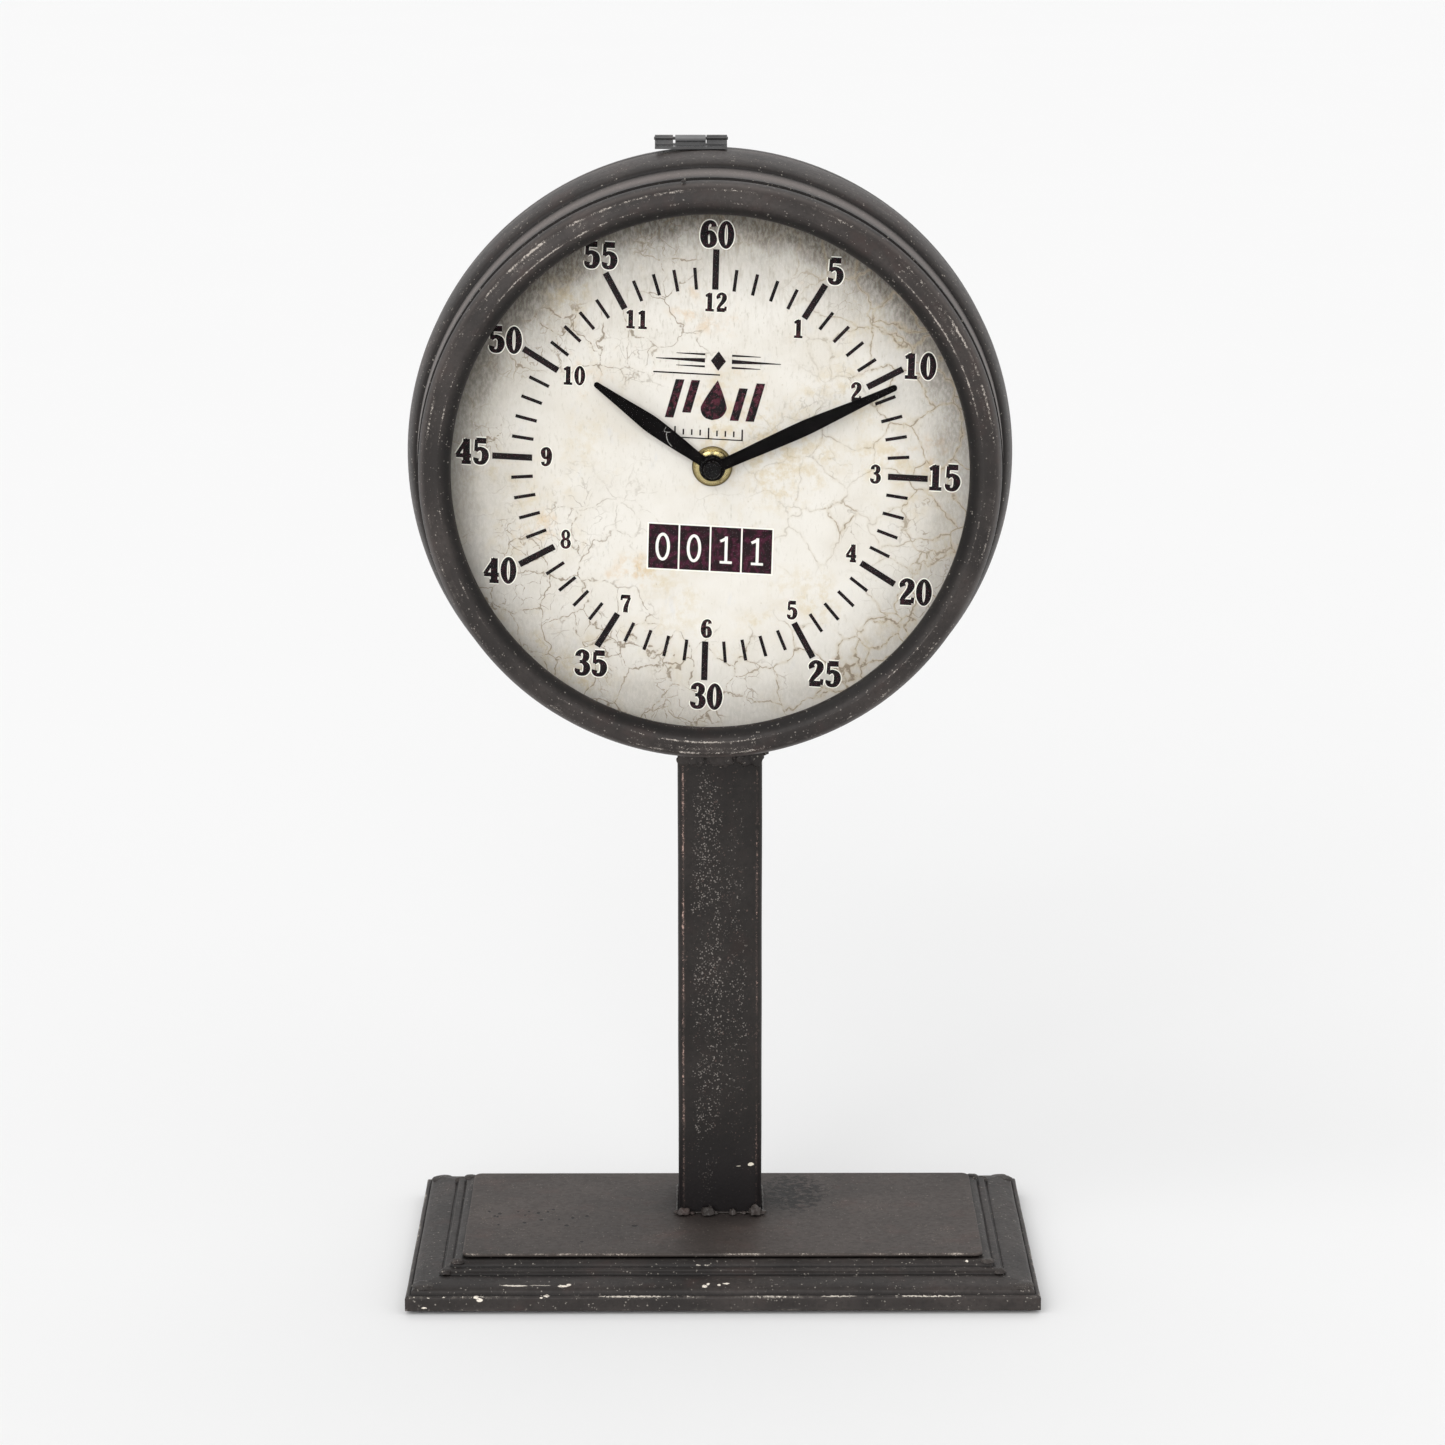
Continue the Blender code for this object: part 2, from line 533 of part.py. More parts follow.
def build_head(head):
    """Drum, bezel, glass, dial and the hoops between them."""
    shell = drum_outside() + list(reversed(drum_outside(SHEET)))
    add_object("drum_shell", turned(shell, HEAD_SEGMENTS), iron_paint("drum_shell_paint"), head,
               smooth=30)
    add_object("bezel_ring", turned(bezel_section(), HEAD_SEGMENTS), iron_paint("bezel_ring_paint"),
               head, smooth=35)
    bm = bmesh.new()
    bmesh.ops.create_uvsphere(bm, u_segments=10, v_segments=6, radius=RIVET_RADIUS)
    bmesh.ops.scale(bm, verts=bm.verts, vec=(1.0, 1.0, RIVET_RISE))
    out = BEZEL_RADIUS - BEZEL_CREST_RADIUS + RIVET_RISE * RIVET_RADIUS + GAP
    radius = BEZEL_CREST_RADIUS + out * math.cos(RIVET_TILT)
    forward = out * math.sin(RIVET_TILT) * RIVET_FORWARD
    place = (-radius * math.sin(RIVET_ANGLE), BEZEL_WIDEST - forward,
             radius * math.cos(RIVET_ANGLE))
    rivet = add_object("bezel_rivet", bm, iron_paint("bezel_rivet_paint"), head, place, smooth=60)
    rivet.rotation_euler = (RIVET_TILT, 0.0, 0.0)
    add_object("glass", disc(GLASS_RADIUS, GLASS_FRONT, GLASS_FRONT + GLASS_THICKNESS, HEAD_SEGMENTS),
               material("glass_clear", (0.9, 0.95, 0.93), 0.03, 0.0, 0.2), head, smooth=35)
    hoop_front = GLASS_FRONT + GLASS_THICKNESS + GAP
    add_object("spacer_hoop", tube(HOOP_OUTER, HOOP_INNER, hoop_front, DIAL_FRONT - GAP, HEAD_SEGMENTS),
               black_paint("spacer_hoop_paint"), head, smooth=35)
    hole = DIAL_HOLE + HAND_X - HEAD_X
    dial = tube(DIAL_RADIUS, hole, DIAL_FRONT, DIAL_FRONT + DIAL_THICKNESS, HEAD_SEGMENTS)
    add_object("dial_plate", dial, material("dial_paper", (0.80, 0.77, 0.69), 0.7), head, smooth=35)
    keeper_front = DIAL_FRONT + DIAL_THICKNESS + GAP
    keeper = tube(KEEPER_OUTER, KEEPER_INNER, keeper_front, keeper_front + KEEPER_THICKNESS,
                  HEAD_SEGMENTS)
    add_object("dial_keeper_hoop", keeper, bright_steel("dial_keeper_hoop_steel"), head, smooth=35)


# ---------------------------------------------------------------- rear cover and hinge

def cover_section():
    """(radius, depth) points of the pressed rear cover, outside first and then inside."""
    outside = [(FLANGE_RADIUS, COVER_FRONT)]
    corner = FLANGE_RADIUS - COVER_CORNER, COVER_BACK - COVER_CORNER
    outside += arc(corner, (COVER_CORNER, COVER_CORNER), 0, 90, 3)
    panel = COVER_BACK + COVER_PANEL_RAISE
    outside += [(COVER_PANEL_RADIUS + COVER_PANEL_RAISE, COVER_BACK),
                (COVER_PANEL_RADIUS, panel), (0.0, panel)]
    inside = [(0.0, panel - SHEET), (COVER_PANEL_RADIUS - SHEET, panel - SHEET),
              (COVER_PANEL_RADIUS + COVER_PANEL_RAISE - SHEET, COVER_BACK - SHEET),
              (corner[0], COVER_BACK - SHEET), (FLANGE_RADIUS - SHEET, corner[1]),
              (FLANGE_RADIUS - SHEET, COVER_FRONT)]
    return outside, inside


def build_cover(head, hinge):
    """Rear cover with its knob; both hang from the hinge's axis."""
    outside, inside = cover_section()
    bm = turned(outside + inside, HEAD_SEGMENTS)
    bmesh.ops.translate(bm, verts=bm.verts, vec=head.location - hinge.location)
    add_object("rear_cover", bm, iron_paint("rear_cover_paint"), hinge, smooth=30)
    start = COVER_BACK + COVER_PANEL_RAISE + GAP
    grip = COVER_KNOB_RADIUS
    outline = [(share * grip, start + along * COVER_KNOB_LENGTH) for share, along in COVER_KNOB_SHAPE]
    knob = turned([(0.0, start)] + outline + [(0.0, start + COVER_KNOB_LENGTH)], 16, False)
    place = head.location - hinge.location
    bmesh.ops.translate(knob, verts=knob.verts, vec=(place.x, place.y, place.z - KNOB_DROP))
    add_object("cover_knob", knob, bright_steel("cover_knob_steel"), hinge, smooth=40)


def hinge_leaf(name, hinge, side, spans):
    """One leaf, side -1 in front and +1 behind, with a knuckle over each (low, high) span of X."""
    underside = HEAD_Z + FLANGE_RADIUS + GAP - HINGE_Z
    near = side * LEAF_START
    far = side * (LEAF_START + LEAF_WIDTH)
    half = HINGE_LENGTH / 2
    top = underside + LEAF_THICKNESS
    plate = box((-half, min(near, far), underside), (half, max(near, far), top))
    leaf = add_object(name, plate, iron_paint(f"{name}_paint"), hinge, smooth=35)
    neck = [(side * NECK_ROOT, underside), (near, underside), (-side * NECK_REACH, -NECK_REACH),
            (side * 0.3 * MM, 0.8 * MM), (side * NECK_ROOT, top)]
    for low, high in spans:
        combine(leaf, prism(neck, low, high, "X"), "UNION", hinge)
        barrel = arc((0.0, 0.0), (BARREL_RADIUS, BARREL_RADIUS), 0, 330, BARREL_STEPS)
        combine(leaf, prism(barrel, low, high, "X"), "UNION", hinge)
    bore = arc((0.0, 0.0), (PIN_RADIUS + FIT, PIN_RADIUS + FIT), 0, 330, BARREL_STEPS)
    combine(leaf, prism(bore, -HINGE_LENGTH, HINGE_LENGTH, "X"), "DIFFERENCE", hinge)
    return leaf


def build_hinge(hinge):
    """Two leaves and the pin between them."""
    first, second, third, fourth, fifth, sixth = KNUCKLE_ENDS
    hinge_leaf("hinge_leaf_fixed", hinge, -1, ((first, second), (fifth, sixth)))
    hinge_leaf("hinge_leaf_moving", hinge, 1, ((third, fourth),))
    round_pin = arc((0.0, 0.0), (PIN_RADIUS, PIN_RADIUS), 0, 330, BARREL_STEPS)
    half = HINGE_LENGTH / 2 + GAP
    add_object("hinge_pin", prism(round_pin, -half, half, "X"), bright_steel("hinge_pin_steel"), hinge,
               smooth=40)


# ---------------------------------------------------------------- hands and dial fittings

def hand_outline(angle, hub, stations, length):
    """Outline of a leaf-shaped hand: a hub circle, then its stations to a round tip."""
    tip_half = stations[-1][1]
    tip = length - tip_half
    root_half = stations[0][1]
    opening = math.asin(root_half / hub)
    right = [(half, reach) for reach, half in stations]
    left = [(-half, reach) for reach, half in reversed(stations)]
    end = [(x, z) for x, z in arc((0.0, tip), (tip_half, tip_half), 0, 180, 4)]
    circle = []
    steps = 14
    for step in range(steps + 1):
        turn = HALF_TURN / 2 + opening + (FULL_TURN - 2 * opening) * step / steps
        circle.append((hub * math.cos(turn), hub * math.sin(turn)))
    points = circle + right[:-1] + end + left[1:]
    sine, cosine = math.sin(angle), math.cos(angle)
    return [(x * cosine + z * sine, z * cosine - x * sine) for x, z in points]


def build_hands(movement):
    """Hour hand, minute hand and the cap nut that holds them."""
    for name, angle, hub, stations, length, front, hole in (
            ("hour_hand", HOUR_ANGLE, HOUR_HUB, HOUR_STATIONS, HOUR_LENGTH, HOUR_DEPTH, PIPE_RADIUS),
            ("minute_hand", MINUTE_ANGLE, MINUTE_HUB, MINUTE_STATIONS, MINUTE_LENGTH, MINUTE_DEPTH,
             ARBOR_RADIUS)):
        outline = hand_outline(angle, hub, stations, length)
        hand = add_object(name, prism(outline, front, front + HAND_THICKNESS),
                          black_paint(f"{name}_paint"), movement)
        combine(hand, disc(hole + FIT, front - MM, front + 2 * MM, 16), "DIFFERENCE", movement)
    cap_back = MINUTE_DEPTH - GAP
    cap = turned([(0.0, cap_back - CAP_LENGTH), (CAP_FACE * CAP_RADIUS, cap_back - CAP_LENGTH),
                  (CAP_RADIUS, cap_back - CAP_SIDE * CAP_LENGTH), (CAP_RADIUS, cap_back),
                  (0.0, cap_back)], 18, False)
    add_object("cap_nut", cap, black_paint("cap_nut_paint"), movement, smooth=40)


def build_dial_fittings(movement):
    """Threaded bush, nut and washers that clamp the movement to the dial."""
    bush = tube(BUSH_RADIUS, BUSH_BORE, BUSH_FRONT, CASE_FRONT + CASE_WALL, 20)
    add_object("threaded_bush", bush, brass("threaded_bush_brass"), movement, smooth=40)
    washer_back = DIAL_FRONT - GAP
    washer_front = washer_back - WASHER_THICKNESS
    washer = tube(WASHER_RADIUS, BUSH_RADIUS + GAP, washer_front, washer_back, 28)
    add_object("brass_washer", washer, brass("brass_washer_brass"), movement, smooth=40)
    nut_back = washer_front - GAP
    across = NUT_FLATS / 2 / math.cos(HALF_TURN / 6)
    outline = arc((0.0, 0.0), (across, across), 0, 300, 5)
    nut = add_object("hex_nut", prism(outline, nut_back - NUT_THICKNESS, nut_back),
                     brass("hex_nut_brass"), movement)
    thread = disc(BUSH_RADIUS + FIT, nut_back - NUT_THICKNESS - MM, nut_back + MM, 20)
    combine(nut, thread, "DIFFERENCE", movement)
    rubber_front = DIAL_FRONT + DIAL_THICKNESS + GAP
    rubber = tube(RUBBER_RADIUS, BUSH_RADIUS + GAP, rubber_front, CASE_FRONT - GAP, 24)
    add_object("rubber_washer", rubber, material("rubber_washer_rubber", (0.02, 0.02, 0.02), 0.8),
               movement, smooth=40)


# ---------------------------------------------------------------- quartz movement

def build_case(movement):
    """Moulded case with a closed gear chamber and an open battery bay."""
    half = CASE_SIDE / 2
    shell = prism(rounded_rectangle(CASE_SIDE, CASE_SIDE, CASE_CORNER), CASE_FRONT, CASE_BACK)
    case = add_object("movement_case", shell, moulded_plastic("movement_case_plastic"), movement, smooth=40)
    inner = half - CASE_WALL
    floor = CASE_FRONT + CASE_WALL
    beyond = LID_BACK + CASE_WALL
    combine(case, box((-inner, floor, BAY_TOP + BAY_WALL), (inner, beyond, inner)), "DIFFERENCE", movement)
    combine(case, box((-inner, floor, -inner), (inner, beyond, BAY_TOP)), "DIFFERENCE", movement)
    combine(case, disc(BUSH_RADIUS + GAP, CASE_FRONT - MM, 0.0, 20), "DIFFERENCE", movement)

    low = BAY_TOP + GAP
    outline = rounded_rectangle(CASE_SIDE, half - low, LID_CORNER, 2, (0.0, (half + low) / 2))
    back = add_object("movement_back", prism(outline, CASE_BACK + GAP, LID_BACK),
                      moulded_plastic("movement_back_plastic"), movement, smooth=40)
    knob_x, knob_z = knob_centre()
    hole = disc(KNOB_HOLE, CASE_BACK - MM, LID_BACK + MM, 16)
    combine(back, hole, "DIFFERENCE", movement, (knob_x, 0.0, knob_z))


def gear_outline(teeth, module, phase):
    """Pointed teeth about the origin, with a tooth centred on the angle phase."""
    pitch = module * teeth / 2
    points = []
    for index in range(2 * teeth):
        angle = phase + HALF_TURN * index / teeth
        radius = pitch - DEDENDUM * module if index % 2 else pitch + ADDENDUM * module
        points.append((radius * math.cos(angle), radius * math.sin(angle)))
    return points


def meshing_phase(phase, teeth, direction, other_teeth):
    """Phase of the gear that lies in a direction from this one and has a gap on each of its teeth."""
    pitch = FULL_TURN / teeth
    offset = ((direction - phase) / pitch) % 1.0
    return direction + HALF_TURN + (offset + 0.5) * FULL_TURN / other_teeth


def motion_centre():
    return (MOTION_DISTANCE * math.cos(MOTION_DIRECTION), MOTION_DISTANCE * math.sin(MOTION_DIRECTION))


def knob_centre():
    """The setting arbor meshes with the motion wheel as the cannon pinion does."""
    x, z = motion_centre()
    return (x + MOTION_DISTANCE * math.cos(KNOB_DIRECTION), z + MOTION_DISTANCE * math.sin(KNOB_DIRECTION))


def build_wheels(movement):
    """Going train, motion work and the setting knob, in mesh."""
    nylon = (0.75, 0.74, 0.70)
    train = 2 * TRAIN_DISTANCE / (MINUTE_TEETH + THIRD_PINION_TEETH)
    upper_train = 2 * TRAIN_DISTANCE / (THIRD_TEETH + SECONDS_PINION_TEETH)
    motion = 2 * MOTION_DISTANCE / (CANNON_TEETH + MOTION_TEETH)
    hour_pair = 2 * MOTION_DISTANCE / (MOTION_PINION_TEETH + HOUR_TEETH)

    minute_tip = MINUTE_DEPTH - GAP + FIT
    wheel = add_object("minute_wheel", disc(ARBOR_RADIUS, minute_tip, MINUTE_LEVEL[1] + SHOULDER, 14),
                       material("minute_wheel_steel", (0.5, 0.5, 0.5), 0.4, 1.0), movement)
    teeth = gear_outline(MINUTE_TEETH, train, THIRD_DIRECTION)
    combine(wheel, prism(teeth, *MINUTE_LEVEL), "UNION", movement)
    cannon = gear_outline(CANNON_TEETH, motion, MOTION_DIRECTION)
    combine(wheel, prism(cannon, *CANNON_LEVEL), "UNION", movement)

    hour = add_object("hour_wheel", disc(PIPE_RADIUS, HOUR_DEPTH - GAP, HOUR_LEVEL[1], 16),
                      moulded_plastic("hour_wheel_nylon", nylon), movement)
    teeth = gear_outline(HOUR_TEETH, hour_pair, MOTION_DIRECTION)
    combine(hour, prism(teeth, *HOUR_LEVEL), "UNION", movement)
    combine(hour, disc(PIPE_BORE, HOUR_DEPTH - MM, 0.0, 16), "DIFFERENCE", movement)

    x, z = motion_centre()
    axis = pivot("motion_axis", (x, 0.0, z), movement)
    motion_phase = meshing_phase(MOTION_DIRECTION, CANNON_TEETH, MOTION_DIRECTION, MOTION_TEETH)
    pinion_phase = meshing_phase(MOTION_DIRECTION, HOUR_TEETH, MOTION_DIRECTION, MOTION_PINION_TEETH)
    wheel = add_object("motion_wheel", disc(MOTION_ARBOR, ARBOR_FRONT, ARBOR_BACK, 12),
                       moulded_plastic("motion_wheel_nylon", nylon), axis)
    combine(wheel, prism(gear_outline(MOTION_TEETH, motion, motion_phase), *MOTION_LEVEL), "UNION", axis)
    pinion = gear_outline(MOTION_PINION_TEETH, hour_pair, pinion_phase)
    combine(wheel, prism(pinion, MOTION_PINION_LEVEL[0], MOTION_LEVEL[0] + SHOULDER), "UNION", axis)

    axis = pivot("third_axis", (TRAIN_DISTANCE * math.cos(THIRD_DIRECTION), 0.0,
                                TRAIN_DISTANCE * math.sin(THIRD_DIRECTION)), movement)
    pinion_phase = meshing_phase(THIRD_DIRECTION, MINUTE_TEETH, THIRD_DIRECTION, THIRD_PINION_TEETH)
    wheel = add_object("third_wheel", disc(WHEEL_ARBOR, ARBOR_FRONT, ARBOR_BACK, 10),
                       moulded_plastic("third_wheel_nylon", nylon), axis)
    pinion = gear_outline(THIRD_PINION_TEETH, train, pinion_phase)
    combine(wheel, prism(pinion, THIRD_PINION_LEVEL[0], THIRD_LEVEL[0] + SHOULDER), "UNION", axis)
    third = gear_outline(THIRD_TEETH, upper_train, THIRD_DIRECTION + HALF_TURN)
    combine(wheel, prism(third, *THIRD_LEVEL), "UNION", axis)

    pinion_phase = meshing_phase(THIRD_DIRECTION + HALF_TURN, THIRD_TEETH, THIRD_DIRECTION + HALF_TURN,
                                 SECONDS_PINION_TEETH)
    wheel = add_object("seconds_wheel", disc(WHEEL_ARBOR, SECONDS_PINION_LEVEL[0], ARBOR_BACK, 10),
                       moulded_plastic("seconds_wheel_nylon", nylon), movement)
    pinion = gear_outline(SECONDS_PINION_TEETH, upper_train, pinion_phase)
    combine(wheel, prism(pinion, SECONDS_PINION_LEVEL[0], SECONDS_LEVEL[0] + SHOULDER), "UNION",
            movement)
    combine(wheel, prism(gear_outline(SECONDS_TEETH, train, 0.0), *SECONDS_LEVEL), "UNION", movement)

    knob_x, knob_z = knob_centre()
    axis = pivot("setting_axis", (knob_x, 0.0, knob_z), movement)
    knob_phase = meshing_phase(motion_phase, MOTION_TEETH, KNOB_DIRECTION, KNOB_TEETH)
    grip_front, grip_back = (LID_BACK + level for level in KNOB_GRIP)
    knob = add_object("setting_knob", disc(KNOB_ARBOR, ARBOR_FRONT, (grip_front + grip_back) / 2, 12),
                      moulded_plastic("setting_knob_plastic", (0.02, 0.02, 0.02)), axis)
    combine(knob, prism(gear_outline(KNOB_TEETH, motion, knob_phase), *CANNON_LEVEL), "UNION", axis)
    grip = gear_outline(KNOB_GRIP_RIBS, KNOB_GRIP_MODULE, 0.0)
    combine(knob, prism(grip, grip_front, grip_back), "UNION", axis)


def build_motor(movement):
    """Stepping motor: rotor, stator plate and coil."""
    rotor_x, rotor_z = ROTOR_CENTRE
    axis = pivot("rotor_axis", (rotor_x, 0.0, rotor_z), movement)
    rotor = turned(ROTOR_OUTLINE, 16, False)
    add_object("rotor", rotor, material("rotor_magnet", (0.12, 0.12, 0.13), 0.5, 0.6), axis, smooth=40)

    lower = [(x, -half) for x, half in STATOR_OUTLINE]
    upper = [(x, half) for x, half in reversed(STATOR_OUTLINE)]
    stator = add_object("stator", prism(lower + upper, STATOR_FRONT, STATOR_BACK),
                        bright_steel("stator_steel"), movement)
    hole = disc(STATOR_HOLE, STATOR_FRONT - 2 * MM, STATOR_BACK + 2 * MM, 20)
    combine(stator, hole, "DIFFERENCE", movement, (rotor_x, 0.0, rotor_z))
    for low, high in STATOR_WINDOWS:
        window = box((low, STATOR_FRONT - 2 * MM, -STATOR_WINDOW_HALF),
                     (high, STATOR_BACK + 2 * MM, STATOR_WINDOW_HALF))
        combine(stator, window, "DIFFERENCE", movement)

    middle = (COIL_X, (STATOR_FRONT + STATOR_BACK) / 2)
    winding = rounded_rectangle(COIL_SIDE, COIL_SIDE, COIL_CORNER, 3, middle)
    coil = add_object("coil", prism(winding, -COIL_LENGTH / 2, COIL_LENGTH / 2, "Z"),
                      material("coil_copper", (0.55, 0.20, 0.09), 0.35, 1.0), movement, smooth=40)
    core = rounded_rectangle(COIL_BORE[0], COIL_BORE[1], COIL_BORE_CORNER, 1, middle)
    combine(coil, prism(core, -COIL_LENGTH, COIL_LENGTH, "Z"), "DIFFERENCE", movement)


def build_electronics(movement):
    """Circuit board, crystal, battery and its two contacts."""
    add_object("circuit_board", box(BOARD_LOW, BOARD_HIGH),
               material("circuit_board_resin", (0.10, 0.06, 0.02), 0.5), movement)
    crystal_y = BOARD_HIGH[1] + GAP + CRYSTAL_RADIUS
    can = arc((crystal_y, CRYSTAL_Z), (CRYSTAL_RADIUS, CRYSTAL_RADIUS), 0, 324, 9)
    add_object("quartz_crystal", prism(can, *CRYSTAL_SPAN, "X"), bright_steel("quartz_crystal_can"),
               movement, smooth=40)

    half = BATTERY_LENGTH / 2
    tip_radius, tip_height = BATTERY_TIP
    cell = [(0.0, -half), (BATTERY_RADIUS, -half), (BATTERY_RADIUS, half - tip_height),
            (tip_radius, half - tip_height), (tip_radius, half), (0.0, half)]
    battery = add_object("battery", turned(cell, 20, False),
                         material("battery_sleeve", (0.05, 0.05, 0.06), 0.35), movement,
                         (0.0, BATTERY_Y, BATTERY_Z), smooth=40)
    battery.rotation_euler = (0.0, 0.0, -HALF_TURN / 2)

    near = half + GAP
    far = CASE_SIDE / 2 - CASE_WALL - GAP
    bend = [(near, -3.0 * MM), (near + CONTACT_SHEET, -3.0 * MM), (near + CONTACT_SHEET, 1.0 * MM),
            (far, 1.6 * MM), (far, 4.0 * MM), (far - CONTACT_SHEET, 4.0 * MM),
            (far - CONTACT_SHEET, 2.0 * MM), (near, 1.4 * MM)]
    for name, side in (("contact_positive", 1), ("contact_negative", -1)):
        strip = [(side * x, BATTERY_Y + y) for x, y in bend]
        add_object(name,
                   prism(strip, BATTERY_Z - CONTACT_WIDTH / 2, BATTERY_Z + CONTACT_WIDTH / 2, "Z"),
                   bright_steel(f"{name}_steel"), movement)


def main():
    clear_scene()
    head = pivot("head_axis", (HEAD_X, 0.0, HEAD_Z))
    hinge = pivot("cover_hinge_axis", (HINGE_X, HINGE_Y, HINGE_Z))
    movement = pivot("hand_axis", (HAND_X, 0.0, HAND_Z))
    build_base()
    build_post()
    build_head(head)
    build_cover(head, hinge)
    build_hinge(hinge)
    build_dial_fittings(movement)
    build_hands(movement)
    build_case(movement)
    build_wheels(movement)
    build_motor(movement)
    build_electronics(movement)


main()
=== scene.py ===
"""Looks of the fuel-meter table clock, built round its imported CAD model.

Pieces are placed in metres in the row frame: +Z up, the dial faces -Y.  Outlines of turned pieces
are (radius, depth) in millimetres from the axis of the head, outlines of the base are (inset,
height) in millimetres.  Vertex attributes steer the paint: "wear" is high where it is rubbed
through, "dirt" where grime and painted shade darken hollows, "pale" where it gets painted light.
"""
import math
import random

import bmesh
import bpy
import numpy as np
from mathutils import Matrix, Vector, noise


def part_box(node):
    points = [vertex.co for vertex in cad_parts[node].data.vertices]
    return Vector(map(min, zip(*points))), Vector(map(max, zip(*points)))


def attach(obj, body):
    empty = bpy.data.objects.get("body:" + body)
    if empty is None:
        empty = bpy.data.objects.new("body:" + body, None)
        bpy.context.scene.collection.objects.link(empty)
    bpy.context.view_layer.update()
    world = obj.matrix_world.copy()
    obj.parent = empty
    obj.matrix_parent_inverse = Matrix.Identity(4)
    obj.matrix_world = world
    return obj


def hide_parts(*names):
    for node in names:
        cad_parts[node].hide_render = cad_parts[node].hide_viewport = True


MM = 0.001
TAU = 2.0 * math.pi

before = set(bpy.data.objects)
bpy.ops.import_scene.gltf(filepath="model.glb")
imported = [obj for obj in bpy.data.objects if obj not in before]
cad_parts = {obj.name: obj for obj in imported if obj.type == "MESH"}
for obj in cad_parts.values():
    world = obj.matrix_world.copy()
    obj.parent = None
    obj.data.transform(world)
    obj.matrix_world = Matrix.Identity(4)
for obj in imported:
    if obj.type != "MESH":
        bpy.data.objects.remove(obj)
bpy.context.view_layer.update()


def centre_of(node):
    low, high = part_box(node)
    return (low + high) / 2


def depths(node):
    """Front and back depth of a CAD node in mm."""
    return [corner.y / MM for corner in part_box(node)]


HEAD = centre_of("dial_plate")
HEAD_X, HEAD_Z = HEAD.x / MM, HEAD.z / MM
ARBOR = centre_of("brass_washer")
DIAL_FRONT = depths("dial_plate")[0]
POST_LOW, POST_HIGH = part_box("post")
POST_MID = (POST_LOW + POST_HIGH) / 2 / MM
POST_FRONT = POST_LOW.y / MM
PLATE_LOW, PLATE_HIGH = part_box("base_top_plate")
PLATE_TOP = PLATE_HIGH.z / MM
BASE_LOW = Vector((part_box("base_moulding_left")[0].x, *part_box("base_moulding_front")[0].yz))
BASE_HIGH = Vector((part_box("base_moulding_right")[1].x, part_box("base_moulding_back")[1].y,
                    PLATE_HIGH.z))


# ---------------------------------------------------------------- node materials

def shade(colour, factor):
    return tuple(factor * c for c in colour)


